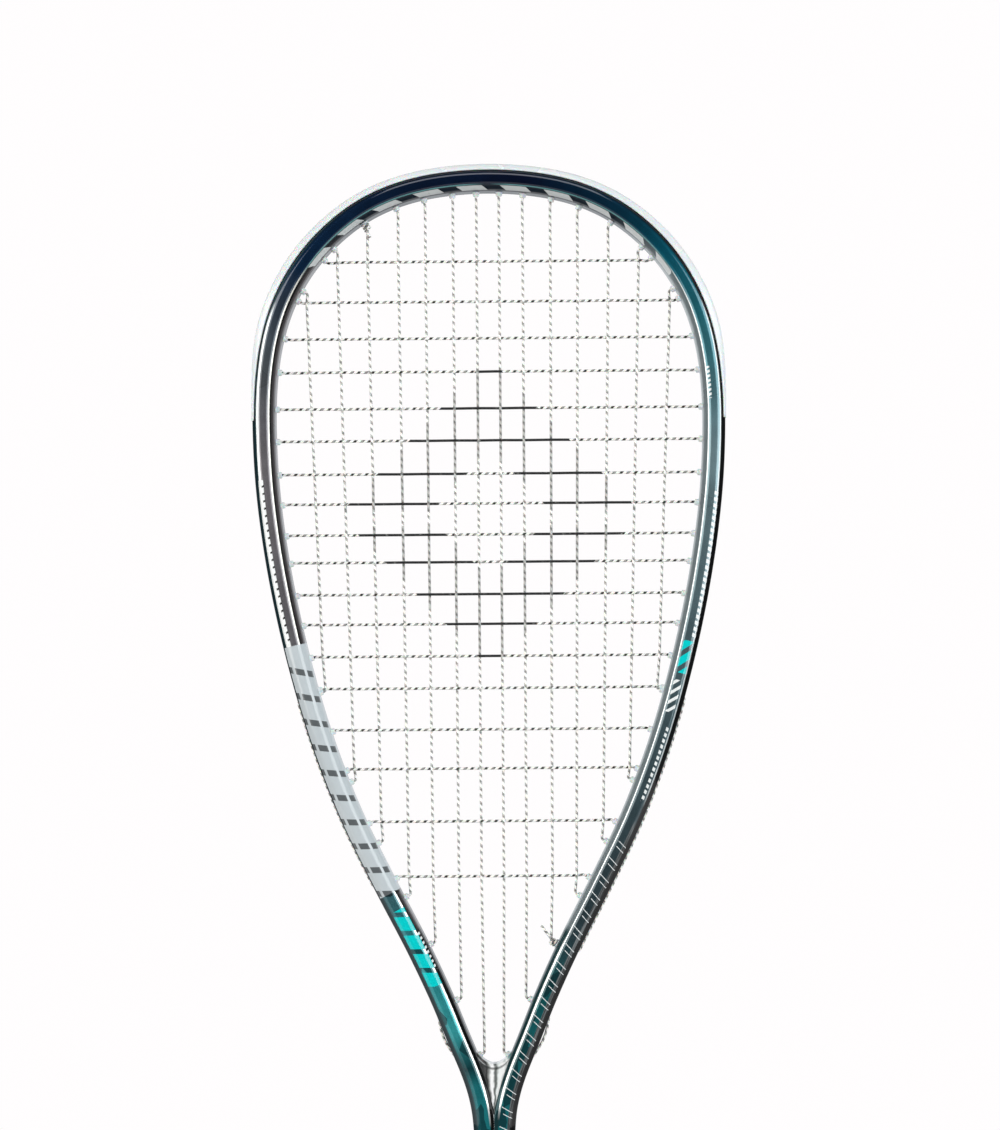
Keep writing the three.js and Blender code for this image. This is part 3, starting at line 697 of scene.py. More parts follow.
def web_material():
    shader = Shader("web_silver_with_painted_reflections", Roughness=0.3, Coat_Weight=1.0, Coat_Roughness=0.05)
    spot = shader.spot()
    # painted reflections: light and dark streaks across the silver web, and a dark line just under its
    # rounded upper lip
    wander = shader.spread(shader.noise(spot, 0.16), *NOISE_RANGE, -0.06, 0.06)
    streaks = shader.ramp(shader.attribute("across") + wander, WEB_REFLECTION_STREAKS)
    dark_lip_reflection = shader.within(shader.attribute("down"), 1.5, 2.4, soft=0.8)
    shader.drive("Base Color", shader.mix(dark_lip_reflection * 0.8, streaks, paint(40, 44, 44)))
    shader.bump(shader.noise(spot, 0.8), 0.02)
    return shader.material


def make_web(material):
    """The concave web in the fork, thinner at its hollow upper edge and flush with the shaft below."""
    profile = subdivided(rounded([(-8.7, WEB_FLOOR, 0.1), (-8.3, 271, 6), (-5.4, WEB_TOP - 1.2, 2.4),
                                  (-3.9, WEB_TOP, 1.4), (3.9, WEB_TOP, 1.4), (5.4, WEB_TOP - 1.2, 2.4),
                                  (8.3, 271, 6), (8.7, WEB_FLOOR, 0.1)], steps=9), 1.5)
    half = ALONG >= 0
    height = smoothstep(profile[:, 1], 268, WEB_TOP)
    reach = np.minimum(np.interp(-profile[:, 1], -SPINE[half, 1], SPINE[half, 0]), 9.5)
    rings = []
    marks = np.linspace(-1, 1, 49)
    for part in marks:
        x = part * reach
        z = profile[:, 1] + height * x * x / 11
        y = profile[:, 0] * (1 - 0.12 * height * (1 - part ** 2))
        rings.append(np.column_stack([x, y, z]))
    parts = Parts()
    parts.grid(np.array(rings), across=np.repeat(0.5 + 0.5 * marks, len(profile)),
               down=np.tile(WEB_TOP - profile[:, 1], len(marks)))
    finish_piece(parts.make("throat_web"), material, "lacquered_graphite", "throat_bridge")


# ---------------------------------------------------------------- string lines and their holes


def hole_along(start, direction, tie=False):
    """The hole whose grommet lip a line reaches, going one way from a point inside the head."""
    place, direction = np.array(start, float), np.array(direction, float)
    direction /= np.linalg.norm(direction)
    step = 4.0
    while step > 0.01:
        place = place + direction * step
        if nearest(place)[0] < REACH:
            place = place - direction * step
            step /= 2
    return {"along": nearest(place)[1], "tie": tie}


def make_main(index):
    count = len(MAIN_X)
    side = -1 if index < count else 1
    rank = count - 1 - index if side < 0 else index - count
    lean = side * MAIN_FAN * (MAIN_X[rank] / MAIN_X[-1]) ** 2
    x = side * MAIN_X[rank]
    return {
        "index": index, "x": x, "lean": lean,
        "top": hole_along((x, MAIN_Z), (lean, 1), rank == TIE_TOP and side < 0),
        "bottom": hole_along((x, MAIN_Z), (-lean, -1), rank == TIE_BOTTOM and side > 0),
    }


def make_cross(index):
    z = CROSS_Z[index]
    return {"index": index, "z": z, "left": hole_along((0, z), (-1, 0)), "right": hole_along((0, z), (1, 0))}


MAINS = [make_main(index) for index in range(2 * len(MAIN_X))]
CROSSES = [make_cross(index) for index in range(len(CROSS_Z))]
HOLES = [main[end] for main in MAINS for end in ("top", "bottom")]
HOLES += [cross[end] for cross in CROSSES for end in ("left", "right")]
LOW_KNOT = MAINS[len(MAIN_X) + TIE_BOTTOM]["bottom"]
HIGH_KNOT = MAINS[len(MAIN_X) - 1 - TIE_TOP]["top"]


def hole_axis(hole):
    """A hole's place on the middle line, and the outward direction there."""
    place, normal = spine_at([hole["along"]])
    return np.insert(place[0], 1, 0.0), np.insert(normal[0], 1, 0.0)


def lip(hole):
    return beside(hole["along"], -REACH)[0]


def crossing(main, cross):
    """Where two strings pass, or None where either ends before it."""
    z = cross["z"]
    x = main["x"] + main["lean"] * (z - MAIN_Z)
    woven = lip(main["bottom"])[2] < z < lip(main["top"])[2]
    woven = woven and lip(cross["left"])[0] < x < lip(cross["right"])[0]
    if not woven or nearest(np.array([x, z]))[0] < REACH + 1.5:
        return None
    return x, z


def over(main, cross):
    return WEAVE if (main["index"] + cross["index"]) % 2 == 0 else -WEAVE


def string_route():
    """The one string as a list of (point, kind), kind 1 on the crosses, from knot to knot."""
    route = []

    def go(points, kind=0.0):
        route.extend((np.asarray(point, float), kind) for point in points)

    def through(hole, y):
        return [beside(hole["along"], -REACH - 0.7, y)[0], beside(hole["along"], 3.7, y)[0]]

    def loop(start, end, start_y, end_y, out, lane, kind, bow=0.0):
        onward = 1 if end["along"] > start["along"] else -1
        first, last = start["along"] + onward * 1.6, end["along"] - onward * 1.6
        marks = np.linspace(first, last, max(3, int(abs(last - first) / 2)))
        arched = out + bow * np.sin(np.linspace(0, math.pi, len(marks)))
        go(through(start, start_y) + list(beside(marks, arched, lane)) + through(end, end_y)[::-1], kind)

    def shift(hole):
        return -PAIR_SHIFT if hole in (LOW_KNOT, HIGH_KNOT) else 0.0

    def woven(pairs, sign):
        """Where one string passes in front of the others or behind them."""
        places = [(crossing(*pair), sign * over(*pair)) for pair in pairs]
        return [(place[0], y, place[1]) for place, y in places if place]

    loop(LOW_KNOT, MAINS[-1]["bottom"], PAIR_SHIFT, 0, RUN_OUT, 0, 0.0)
    for main in reversed(MAINS):
        upward = main["index"] % 2 == 1
        span = woven([(main, cross) for cross in CROSSES], 1)
        go(reversed(span) if upward else span)
        if main["index"] > 0:
            end = "top" if upward else "bottom"
            start, finish = main[end], MAINS[main["index"] - 1][end]
            bow = THROAT_BOW if min(lip(start)[2], lip(finish)[2]) < 305 else 0.0
            loop(start, finish, shift(start), shift(finish), LANE_OUT, MAIN_LANE, 0.0, bow)
    loop(MAINS[0]["bottom"], CROSSES[-1]["left"], 0, 0, RUN_OUT, 0, 0.0)
    for cross in reversed(CROSSES):
        rightward = cross["index"] % 2 == 1
        span = woven([(main, cross) for main in MAINS], -1)
        go(span if rightward else reversed(span), 1.0)
        if cross["index"] > 0:
            end = "right" if rightward else "left"
            loop(cross[end], CROSSES[cross["index"] - 1][end], 0, 0, LANE_OUT, CROSS_LANE, 1.0)
    loop(CROSSES[0]["left"], HIGH_KNOT, 0, PAIR_SHIFT, RUN_OUT, 0, 1.0)
    return np.array([[*point, kind] for point, kind in route])


def thinned(path):
    """Keeps points where the path turns, and one every few millimetres elsewhere."""
    step = np.diff(path[:, :3], axis=0)
    length = np.linalg.norm(step, axis=1)
    heading = step / length[:, None]
    turn = np.degrees(np.arccos(np.clip((heading[1:] * heading[:-1]).sum(1), -1, 1)))
    keep, turned, gone = [0], 0.0, 0.0
    for i in range(1, len(path) - 1):
        turned += turn[i - 1]
        gone += length[i - 1]
        if turned > 9 or gone > 3.4:
            keep.append(i)
            turned = gone = 0.0
    return path[keep + [len(path) - 1]]


def tube_rings(path, radius, sides):
    """Rings round a path, with as little twist as can be, and the distance along it."""
    tangent = np.gradient(path, axis=0)
    tangent /= np.linalg.norm(tangent, axis=1)[:, None]
    side = np.cross(tangent[0], (0.0, 1.0, 0.0))
    if np.linalg.norm(side) < 0.1:
        side = np.cross(tangent[0], (1.0, 0.0, 0.0))
    frames = []
    for heading in tangent:
        side = side - heading * (side @ heading)
        side = side / np.linalg.norm(side)
        frames.append(side)
    side = np.array(frames)
    other = np.cross(tangent, side)
    angle = np.linspace(0, 2 * math.pi, sides, endpoint=False)
    rings = path[:, None, :] + radius * (
        side[:, None, :] * np.cos(angle)[None, :, None] + other[:, None, :] * np.sin(angle)[None, :, None])
    return rings, path_travel(path)


def knot_path(hole, tail):
    """The string's end out of a shared hole, wound round the main and left as a short tail."""
    base = beside(hole["along"], -REACH + 5, PAIR_SHIFT)[0]
    inward = -hole_axis(hole)[1]
    front = np.array([0.0, -1.0, 0.0])
    sideways = np.cross(inward, front)
    centre = beside(hole["along"], -REACH + 2.3, -PAIR_SHIFT)[0]
    points = [base, base + inward * 2.2]
    turns, coil = 2.35, 2.2 * STRING_RADIUS
    for t in np.linspace(0, 1, 46):
        angle = 2 * math.pi * turns * t
        offset = -front * math.cos(angle) + sideways * math.sin(angle)
        points.append(centre + offset * coil + inward * (0.5 + 3.1 * t))
    end = points[-1]
    points += [end + np.array(tail) * part for part in (0.25, 0.5, 0.75, 1.0)]
    return smooth_curve(resample(np.array(points), 0.3), 1.2)


def make_string(material):
    path = resample_by_place(string_route(), 0.35)
    path = thinned(np.column_stack([smooth_curve(path[:, :3], 2.6), path[:, 3]]))
    strands = [(path[:, :3], path[:, 3])]
    for hole, tail in ((LOW_KNOT, (-4.2, 0.6, 5.6)), (HIGH_KNOT, (1.8, 0.4, -2.8))):
        knot = knot_path(hole, tail)
        strands.append((knot, np.zeros(len(knot))))
    vertices, faces, turns, kinds = [], [], [], []
    count, sides = 0, 10
    for points, kind in strands:
        rings, travel = tube_rings(points, STRING_RADIUS, sides)
        quads = grid_faces(len(rings), sides, count)
        vertices.append(rings.reshape(-1, 3))
        kinds.append(np.repeat(kind, sides))
        j = np.tile(np.arange(sides), len(rings) - 1)
        low, high = np.repeat(travel[:-1], sides), np.repeat(travel[1:], sides)
        corners = [(j, low), (j + 1, low), (j + 1, high), (j, high)]
        # the uv rows follow the faces: the quads of a strand, then its two caps
        turns.append(np.stack([np.stack([a / sides, b], axis=-1) for a, b in corners], axis=1).reshape(-1, 2))
        faces += map(tuple, quads)
        for cap, mark in zip(end_caps(len(rings), sides, count), (travel[0], travel[-1])):
            faces.append(cap)
            turns.append(np.tile([0.3, mark], (sides, 1)))
        count += rings.shape[0] * sides
    made = mesh_object("string_bed", np.vstack(vertices), faces, uv=np.vstack(turns),
                       kind=np.concatenate(kinds))
    finish_piece(made, material, "string", "string")


def resample_by_place(route, spacing):
    """Even spacing by distance in space, carrying the fourth column along."""
    travel = path_travel(route[:, :3])
    marks = np.linspace(0, travel[-1], int(travel[-1] / spacing))
    return np.column_stack([np.interp(marks, travel, route[:, k]) for k in range(4)])


TWIST_PITCH = 3.1
# The ink on the strings: an open lozenge round a height, with its half extents and its open middle
LOZENGE_Z, LOZENGE_HALF_X, LOZENGE_HALF_Z, LOZENGE_HOLLOW = 533.0, 66.0, 68.0, 0.42
LOZENGE_GAP_Z, LOZENGE_GAP = 531.0, 3.0


def string_material():
    shader = Shader("string_nylon", Roughness=0.32, Coat_Weight=0.4, Coat_Roughness=0.12,
                    Subsurface_Weight=0.15, Subsurface_Scale=0.0006)
    around, travel, _ = shader.split(shader.node("ShaderNodeUVMap", uv_map="turns").outputs[0])
    wound = around + travel / TWIST_PITCH
    kind = shader.attribute("kind")
    every_other = shader.math("FRACT", travel / (2 * TWIST_PITCH)) < 0.5
    stripe = shader.within(shader.math("FRACT", wound), 0.06, 0.54, soft=0.05)
    stripe = stripe * shader.spread(every_other, 0, 1, 0.7, 1.0) * shader.spread(kind, 0.4, 0.6, 0.78, 1.0)
    x, _, z = shader.place()
    spot = shader.spot()
    lozenge = abs(x) / LOZENGE_HALF_X + abs(z - LOZENGE_Z) / LOZENGE_HALF_Z
    inked = (lozenge < 1.0) * (lozenge > LOZENGE_HOLLOW) * (abs(z - LOZENGE_GAP_Z) > LOZENGE_GAP)
    strength = shader.spread(kind, 0.4, 0.6, 0.5, 1.0)
    inked = inked * strength * shader.spread(shader.noise(spot, 0.7), 0.25, 0.4, 0.75, 1.0)
    body = shader.clouded(shader.noise(spot, 0.35), (242, 242, 236), (252, 252, 248))
    colour = shader.mix(stripe, body, paint(34, 36, 30))
    shader.drive("Base Color", shader.mix(inked, colour, paint(8, 8, 9)))
    shader.bump(shader.math("SINE", wound * (12 * math.pi)), 0.02, 0.5)
    return shader.material


# ---------------------------------------------------------------- bumper and grommets


def nylon_material():
    shader = Shader("clear_nylon", Roughness=0.2, Transmission_Weight=0.15, IOR=1.45,
                    Subsurface_Weight=0.3, Subsurface_Scale=0.002, Coat_Weight=0.3, Coat_Roughness=0.1)
    spot = shader.spot()
    cloud = shader.noise(spot, 0.08, 3.0)
    shader.drive("Base Color", shader.clouded(cloud, (240, 245, 248), (247, 249, 251)))
    shader.drive("Roughness", shader.spread(cloud, *NOISE_RANGE, 0.18, 0.32))
    shader.bump(shader.noise(spot, 2.4, 3.0), 0.02)
    return shader.material


def add_lathe(parts, origin, axis, profile, sides=16):
    """A closed ring-shaped shell: (radius, distance along the axis) corners turned about it."""
    across = np.array([0.0, 1.0, 0.0])
    other = np.cross(axis, across)
    angle = np.linspace(0, 2 * math.pi, sides, endpoint=False)
    spokes = across[None, :] * np.cos(angle)[:, None] + other[None, :] * np.sin(angle)[:, None]
    rings = np.array([origin + axis * along + spokes * radius for radius, along in profile])
    faces = [tuple(face) for face in grid_faces(len(profile), sides)]
    last = (len(profile) - 1) * sides
    for j in range(sides):
        k = (j + 1) % sides
        faces.append((last + j, last + k, k, j))
    parts.add(rings.reshape(-1, 3), faces)


def add_barrels(parts, start, end):
    """Barrels through the tube at every string hole between two distances, with rolled lips."""
    for hole in HOLES:
        if not start < hole["along"] < end:
            continue
        bore, wall = (1.45, 2.0) if hole["tie"] else (0.85, 1.42)
        lip_at = -5.5 if hole["tie"] else -6.6
        inner = [(bore, 3.5), (bore + 0.25, 3.72), (wall, 3.62), (wall + 0.2, 3.1), (wall, 2.6),
                 (wall, -4.2), (wall + 0.2, -4.75), (wall + 0.12, -5.05), (wall, -5.2),
                 (wall - 0.04, lip_at + 0.4), (wall - 0.14, lip_at + 0.12), (wall - 0.3, lip_at),
                 (bore + 0.14, lip_at), (bore, lip_at + 0.25)]
        add_lathe(parts, *hole_axis(hole), inner)


def strip_rings(section, start, end, shape, spacing=2.0):
    marks = np.linspace(start, end, max(3, int((end - start) / spacing)))
    out, depth = repeated_section(section, len(marks))
    return swept(marks, *shape(out, depth, marks[:, None]))


def make_bumper(material):
    start, end = along_at_height(BUMPER_END_Z, -1), along_at_height(BUMPER_END_Z, 1)
    side = [(STRIP_FLOOR, 2.6, 0.2), (4.95, 2.6, 0.2), (4.95, 5.45, 0.5), (3.85, 7.1, 0.2), (4.3, 7.5, 0.3),
            (6.6, 5.9, 1.2), (BUMPER_TOP, 4.4, 1.0), (BUMPER_TOP, 2.35, 0.7), (STRIP_TOP, 2.0, 0.5)]
    section = subdivided(rounded(side + mirrored(side), 5), 1.5)

    def fade(out, depth, marks):
        near_end = np.minimum(marks - start, end - marks) / BUMPER_TAPER
        height = 0.12 + 0.88 * smoothstep(near_end, 0, 1)
        crest = 1 - 0.22 * np.exp(-(marks / 60.0) ** 2)
        raised = np.where(out > 4.95, 4.95 + (out - 4.95) * height * crest, out)
        return raised, depth

    parts = Parts()
    parts.grid(strip_rings(section, start, end, fade))
    add_barrels(parts, start, end)
    finish_piece(parts.make("head_guard"), material, "clear_nylon", "head_bumper")


def make_strip(name, node, start, end, material):
    section = subdivided(rounded([(STRIP_FLOOR, -STRIP_HALF, 0.1), (STRIP_TOP, -STRIP_HALF, 0.25),
                                  (STRIP_TOP, STRIP_HALF, 0.25), (STRIP_FLOOR, STRIP_HALF, 0.1)], 4), 1.4)

    def rounded_ends(out, depth, marks):
        near_end = np.clip(np.minimum(marks - start, end - marks) / 2.4, 0.0, 1.0)
        narrow = np.sqrt(np.clip(1 - (1 - near_end) ** 2, 0.02, 1))
        return out, depth * narrow

    parts = Parts()
    parts.grid(strip_rings(section, start, end, rounded_ends, 0.8 if end - start < 20 else 1.6))
    add_barrels(parts, start, end)
    finish_piece(parts.make(name), material, "clear_nylon", node)


def make_grommets(material):
    space = 1.2
    for side, word in ((-1, "left"), (1, "right")):
        high = abs(along_at_height(BUMPER_END_Z, side)) + space
        middle = abs(along_at_height(SIDE_STRIP_END_Z, side))
        low = abs(along_at_height(ARM_STRIP_END_Z, side))
        for kind, first, last in (("side", high, middle), ("arm", middle + space, low)):
            start, end = sorted((side * first, side * last))
            make_strip(f"{word}_{kind}_grommets", f"{word}_{kind}_strip", start, end, material)
        singles = sorted({abs(h["along"]) for h in HOLES if h["along"] * side > 0 and abs(h["along"]) > low})
        for number, along in enumerate(reversed(singles), 1):
            centre = side * along
            make_strip(f"{word}_throat_nub_{number}", f"{word}_throat_grommet_{number}",
                       centre - 3.5, centre + 3.5, material)


# ---------------------------------------------------------------- handle


def octagon(x, y, chamfer, radius, steps=5):
    corners = [(x, y - chamfer), (x - chamfer, y), (chamfer - x, y), (-x, y - chamfer),
               (-x, chamfer - y), (chamfer - x, -y), (x - chamfer, -y), (x, chamfer - y)]
    return rounded([(*corner, radius) for corner in corners], steps)


def outline_at_angles(outline, angles):
    """The outline's points where rays at the given angles leave it, so that rings line up."""
    outline = subdivided(outline, 0.25)
    turn = np.arctan2(outline[:, 1], outline[:, 0])
    order = np.argsort(turn)
    turn, distance = turn[order], np.linalg.norm(outline, axis=1)[order]
    turn = np.concatenate([turn - 2 * math.pi, turn, turn + 2 * math.pi])
    distance = np.tile(distance, 3)
    reach = np.interp(angles, turn, distance)
    return np.column_stack([np.cos(angles) * reach, np.sin(angles) * reach])


GRIP_LOW, GRIP_HIGH = (corner.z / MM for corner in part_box("grip"))
TAPE_LOW, TAPE_HIGH = (corner.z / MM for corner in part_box("finishing_tape"))
WRAP_PITCH, HOLE_ROWS, HOLES_PER_TURN = 23.0, 7, 25
GRIP_ANGLES = np.linspace(-math.pi, math.pi, 144, endpoint=False)


# Half width, half depth, chamfer and corner radius of the grip, and of the tape at its two ends
GRIP_SECTION = (15.2, 12.7, 5.2, 3.2)
TAPE_ON_GRIP, TAPE_ON_SHAFT = np.array((16.25, 13.75, 5.4, 3.2)), np.array((10.55, 10.8, 3.0, 1.8))
TAPE_SLOPE_Z, TAPE_BANDS = 197.5, ((193.4, 194.3), (196.0, 196.5))


def handle_ring(x, y, chamfer, radius, z, lift=0.0):
    """A level octagonal ring, with each point moved outward by a lift."""
    outline = outline_at_angles(octagon(x, y, chamfer, radius), GRIP_ANGLES)
    reach = np.linalg.norm(outline, axis=1)
    ring = outline * ((reach + lift) / reach)[:, None]
    return np.column_stack([ring, np.full(len(ring), z)])


def grip_material():
    shader = Shader("perforated_grip", Roughness=0.62, Specular_IOR_Level=0.4, Sheen_Weight=0.12)
    x, y, z = shader.place()
    spot = shader.vector(x, y, z)
    turn = shader.math("ARCTAN2", y, x) / (2 * math.pi)
    # rows of holes follow the wrap, every second row shifted by half a hole; whole numbers are added
    # so that nothing is negative where only the fraction counts
    row = shader.math("FRACT", z / WRAP_PITCH - turn + 10.0) * HOLE_ROWS
    shifted = shader.math("FLOOR", row) % 2.0 * 0.5
    down = shader.math("FRACT", row) - 0.5
    aside = shader.math("FRACT", turn * HOLES_PER_TURN + shifted + 50.0) - 0.5
    hole = shader.spread((down ** 2.0 + aside ** 2.0) ** 0.5, 0.17, 0.11)
    grain = shader.noise(spot, 1.7, 4.0, 0.65)
    body = shader.clouded(shader.noise(spot, 0.05), (22, 23, 25), (38, 39, 42))
    # the perforations are painted near black: painted shade inside holes whose depth is only a bump
    shader.drive("Base Color", shader.mix(hole, body, paint(4, 4, 5)))
    shader.drive("Roughness", shader.spread(grain, *NOISE_RANGE, 0.5, 0.74))
    shader.bump(grain * 0.35 - hole, 0.35)
    return shader.material


def make_grip(material):
    """One strip wound up the handle: each turn lies over the edge of the one below."""
    x, y, chamfer, radius = GRIP_SECTION
    rings = []
    for z in np.linspace(GRIP_LOW + 0.1, GRIP_HIGH - 0.1, 340):
        flare = 1.1 * (1 - smoothstep(z, 13, 27))
        phase = np.mod(z / WRAP_PITCH - GRIP_ANGLES / (2 * math.pi), 1.0)
        overlap = 0.62 * smoothstep(phase, 0.0, 0.025) * (1 - smoothstep(phase, 0.10, 0.26)) - 0.16
        soft_end = np.sqrt(np.clip(min(z - GRIP_LOW, GRIP_HIGH - z) / 1.2, 0, 1))
        lift = overlap - 1.2 * (1 - soft_end)
        rings.append(handle_ring(x + flare, y + flare, chamfer, radius, z, lift))
    finish_rings("wound_grip", rings, material, "grip", "grip")


def tape_material():
    shader = Shader("finishing_tape", Roughness=0.28, Coat_Weight=0.5, Coat_Roughness=0.1)
    z = shader.place()[2]
    soft = shader.noise(shader.spot(), 0.5, 3.0)
    bands = shader.any_of(*(shader.within(z, *band) for band in TAPE_BANDS))
    body = shader.clouded(soft, (8, 112, 118), (16, 132, 136))
    shader.drive("Base Color", shader.mix(bands, body, paint(210, 220, 222)))
    shader.bump(soft, 0.06)
    return shader.material


def make_tape(material):
    rings = []
    low, high = TAPE_LOW, TAPE_HIGH
    for z in np.concatenate([[low, low + 0.05], np.linspace(low + 0.3, high - 0.3, 60), [high - 0.05, high]]):
        lean = smoothstep(z, TAPE_SLOPE_Z, high + 1)
        inset = 0.35 * (1 - np.clip(min(z - low, high - z) / 0.3, 0, 1))
        x, y, chamfer, radius = TAPE_ON_GRIP + (TAPE_ON_SHAFT - TAPE_ON_GRIP) * lean
        seam = np.mod((GRIP_ANGLES + 2.1) / (2 * math.pi) + 0.02 * (z - low), 1.0)
        lift = 0.22 * (1 - seam) * np.clip(seam / 0.01, 0, 1)
        ripple = 0.05 * math.sin(z * 1.9) * np.cos(3 * GRIP_ANGLES)
        rings.append(handle_ring(x - inset, y - inset, chamfer, radius, z, lift - 0.22 + ripple))
    finish_rings("tape_collar", rings, material, "tape", "finishing_tape")


def cap_material():
    shader = Shader("cap_plastic", Roughness=0.42)
    spot = shader.spot()
    grain = shader.noise(spot, 2.2, 4.0, 0.7)
    shader.drive("Base Color", shader.clouded(shader.noise(spot, 0.12), (18, 19, 21), (30, 31, 34)))
    shader.drive("Roughness", shader.spread(grain, *NOISE_RANGE, 0.34, 0.52))
    shader.bump(grain, 0.05)
    return shader.material


# The cap's octagons from its neck round the flange to the panel: half width, half depth, chamfer, height
CAP_LEVELS = [
    (13.3, 10.8, 4.4, 20.0), (13.3, 10.8, 4.4, 5.6), (14.6, 12.1, 5.4, 5.1), (16.2, 13.7, 6.1, 4.9),
    (16.9, 14.4, 6.4, 4.4), (17.25, 14.75, 6.5, 3.4), (17.3, 14.8, 6.5, 2.2), (17.1, 14.6, 6.4, 1.1),
    (16.5, 14.0, 6.1, 0.35), (15.7, 13.2, 5.8, 0.0), (12.6, 10.2, 4.6, 0.0), (12.1, 9.7, 4.4, 0.12),
    (11.8, 9.4, 4.3, 0.6), (11.2, 8.8, 4.0, 0.75), (7.2, 5.6, 2.6, 0.75), (6.9, 5.3, 2.5, 0.5),
    (6.2, 4.7, 2.2, 0.5), (5.9, 4.4, 2.1, 0.75), (0.5, 0.4, 0.2, 0.75),
]


def make_cap(material):
    """The butt cap: a rounded flange, its neck up inside the grip, and a shallow panel underneath."""
    rings = [handle_ring(x, y, chamfer, min(3.4, 0.55 * chamfer), z) for x, y, chamfer, z in CAP_LEVELS]
    finish_rings("butt_end", rings, material, "cap_plastic", "butt_cap")


def foam_material():
    shader = Shader("rigid_foam", Roughness=0.85)
    cell = shader.cells(shader.spot(), 1.6)["Distance"]
    shader.drive("Base Color", shader.ramp(cell, [(0.0, (44, 44, 42)), (0.8, (78, 77, 72))]))
    shader.bump(cell, 0.15)
    return shader.material


def wire_material():
    shader = Shader("galvanised_wire", Metallic=1.0, Roughness=0.35)
    x, y, z = shader.place()
    brushed = shader.noise(shader.vector(x * 8.0, y, z), 1.5, 3.0)
    shader.drive("Base Color", shader.clouded(brushed, (150, 152, 155), (205, 206, 208)))
    shader.drive("Roughness", shader.spread(brushed, *NOISE_RANGE, 0.28, 0.45))
    return shader.material


def dress_hidden_nodes():
    """The nodes that are carried over from the CAD as they are."""
    foam, wire = foam_material(), wire_material()
    materials = {name: foam for name in ("handle_pallet", "left_end_plug", "right_end_plug")}
    materials.update({f"cap_staple_{number}": wire for number in (1, 2, 3, 4)})
    for name, material in materials.items():
        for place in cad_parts[name].material_slots:
            place.material = material


# ---------------------------------------------------------------- stage, light, camera


CAMERA_SHIFT = (-0.07, 0.08)
WORLD_GLOW, BACK_GLOW, KEY_GLOW, TOP_GLOW = 0.06, 0.9, 3.9, 3.0
BACKGROUND = (1.0, 0.985, 0.99, 1)
FLOOR_RADIUS = 1.15
FLOOR_FADE = (500, FLOOR_RADIUS / MM - 60)
LIT_POINT = (0, 0, 0.55)


def floor_material():
    """A pale floor that turns into the white of the background towards its rim."""
    shader = Shader("pale_floor", Roughness=0.9)
    x, y, _ = shader.place()
    far = shader.spread(shader.math("SQRT", x * x + y * y), *FLOOR_FADE, smooth=True)
    shader.drive("Base Color", shader.mix(far, paint(212, 212, 212), (0, 0, 0, 1)))
    shader.surface.inputs["Emission Color"].default_value = BACKGROUND
    shader.drive("Emission Strength", far)
    return shader.material


def make_floor():
    turns = np.linspace(0, 2 * math.pi, 96, endpoint=False)
    mesh = bpy.data.meshes.new("floor")
    mesh.from_pydata([(FLOOR_RADIUS * math.cos(turn), FLOOR_RADIUS * math.sin(turn), 0) for turn in turns],
                     [], [tuple(range(len(turns)))])
    mesh.materials.append(floor_material())
    made = in_scene("floor", mesh)


def softbox(name, place, width, height, radiance, colour=(1, 1, 1)):
    """A rectangular area light of a given brightness, turned to face the racket's upper half."""
    light = bpy.data.lights.new(name, "AREA")
    light.shape = "RECTANGLE"
    light.size, light.size_y = width, height
    light.energy = radiance * math.pi * width * height
    light.color = colour
    made = in_scene(name, light)
    made.location = place
    made.rotation_euler = (Vector(LIT_POINT) - Vector(place)).to_track_quat("-Z", "Y").to_euler()


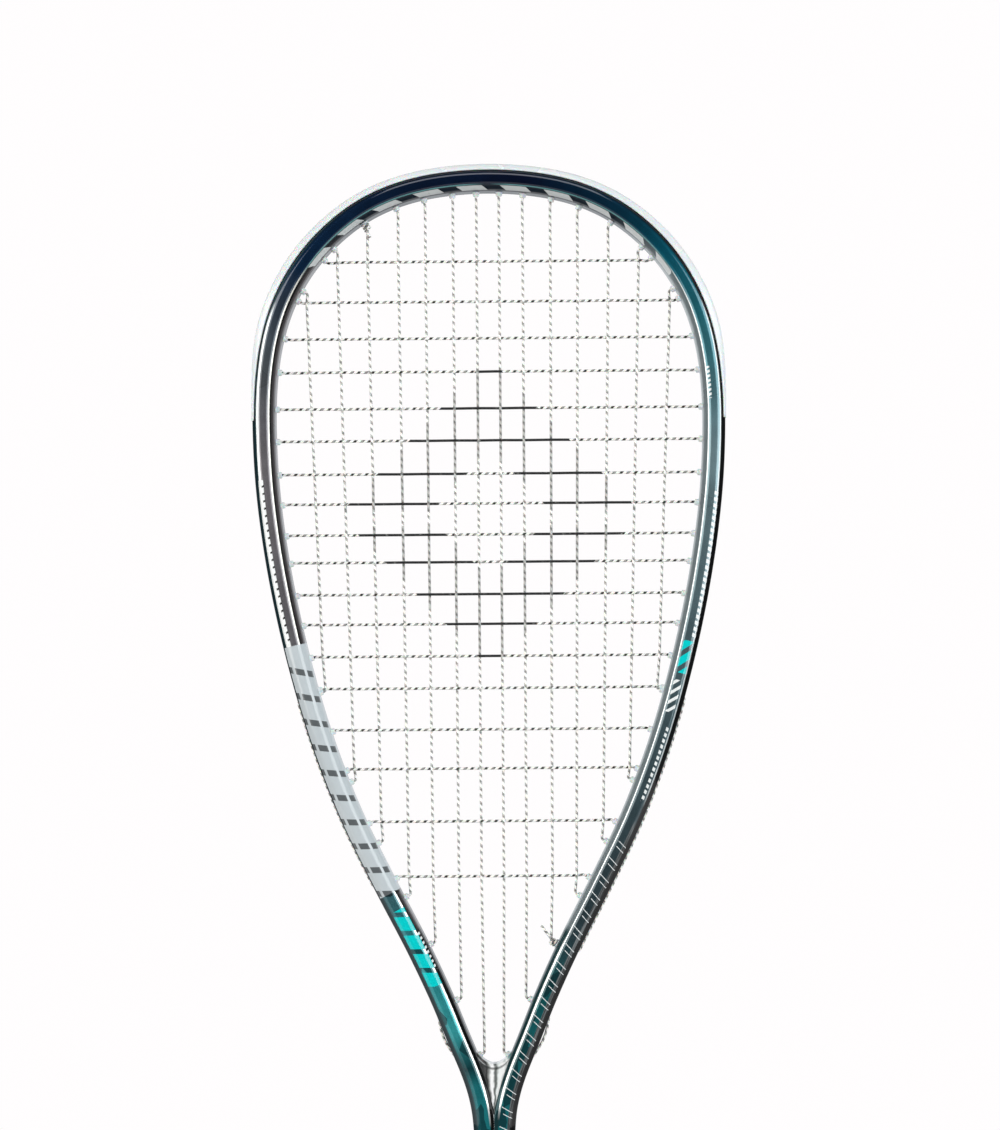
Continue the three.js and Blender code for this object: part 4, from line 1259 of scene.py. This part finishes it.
def make_world():
    """White where it is looked at, and for the object's light and reflections bright only behind it."""
    world = bpy.data.worlds.new("studio")
    world.use_nodes = True
    nodes, links = world.node_tree.nodes, world.node_tree.links
    glow = nodes["Background"]
    glow.inputs["Color"].default_value = (0.92, 0.96, 1.0, 1)
    direction = nodes.new("ShaderNodeTexCoord")
    split = nodes.new("ShaderNodeSeparateXYZ")
    behind = nodes.new("ShaderNodeMapRange")
    settings = {"From Min": 0.5, "From Max": 0.8, "To Min": WORLD_GLOW, "To Max": BACK_GLOW}
    for socket, value in settings.items():
        behind.inputs[socket].default_value = value
    backdrop = nodes.new("ShaderNodeBackground")
    backdrop.inputs["Color"].default_value = BACKGROUND
    path, both = nodes.new("ShaderNodeLightPath"), nodes.new("ShaderNodeMixShader")
    links.new(direction.outputs["Generated"], split.inputs[0])
    links.new(split.outputs["Y"], behind.inputs["Value"])
    links.new(behind.outputs[0], glow.inputs["Strength"])
    links.new(path.outputs["Is Camera Ray"], both.inputs[0])
    links.new(glow.outputs[0], both.inputs[1])
    links.new(backdrop.outputs[0], both.inputs[2])
    links.new(both.outputs[0], nodes["World Output"].inputs["Surface"])
    bpy.context.scene.world = world


def make_stage():
    make_floor()
    make_world()
    softbox("key_left", (-1.5, -1.0, 0.8), 1.7, 1.5, KEY_GLOW, (1, 0.98, 0.95))
    softbox("key_right", (1.5, -1.0, 0.8), 1.7, 1.5, KEY_GLOW, (0.96, 0.99, 1))
    softbox("top_soft", (0, -0.9, 2.2), 1.4, 0.8, TOP_GLOW)


def make_camera():
    """The photo is the upper part of a taller picture, so its middle lies above the camera's axis."""
    distance, shown_height = 1.3, 0.4927
    middle, roll = (0.0042, 0.5106), math.radians(-0.457)
    camera = bpy.data.cameras.new("camera")
    camera.lens = camera.sensor_width * distance / shown_height
    camera.shift_x, camera.shift_y = CAMERA_SHIFT
    camera.clip_end = 50
    aside, above = (shift * shown_height for shift in CAMERA_SHIFT)
    x = middle[0] - aside * math.cos(roll) + above * math.sin(roll)
    z = middle[1] - aside * math.sin(roll) - above * math.cos(roll)
    made = in_scene("camera", camera)
    turn = Matrix.Rotation(math.radians(90), 4, "X") @ Matrix.Rotation(roll, 4, "Z")
    made.matrix_world = Matrix.Translation((x, -distance, z)) @ turn
    bpy.context.scene.camera = made


def main():
    bpy.context.scene.view_settings.view_transform = "Standard"
    make_camera()
    make_stage()
    graphite, nylon = graphite_material(), nylon_material()
    make_frame(graphite)
    make_web(web_material())
    make_bumper(nylon)
    make_grommets(nylon)
    make_string(string_material())
    make_grip(grip_material())
    make_tape(tape_material())
    make_cap(cap_material())
    dress_hidden_nodes()


main()
bpy.context.view_layer.update()
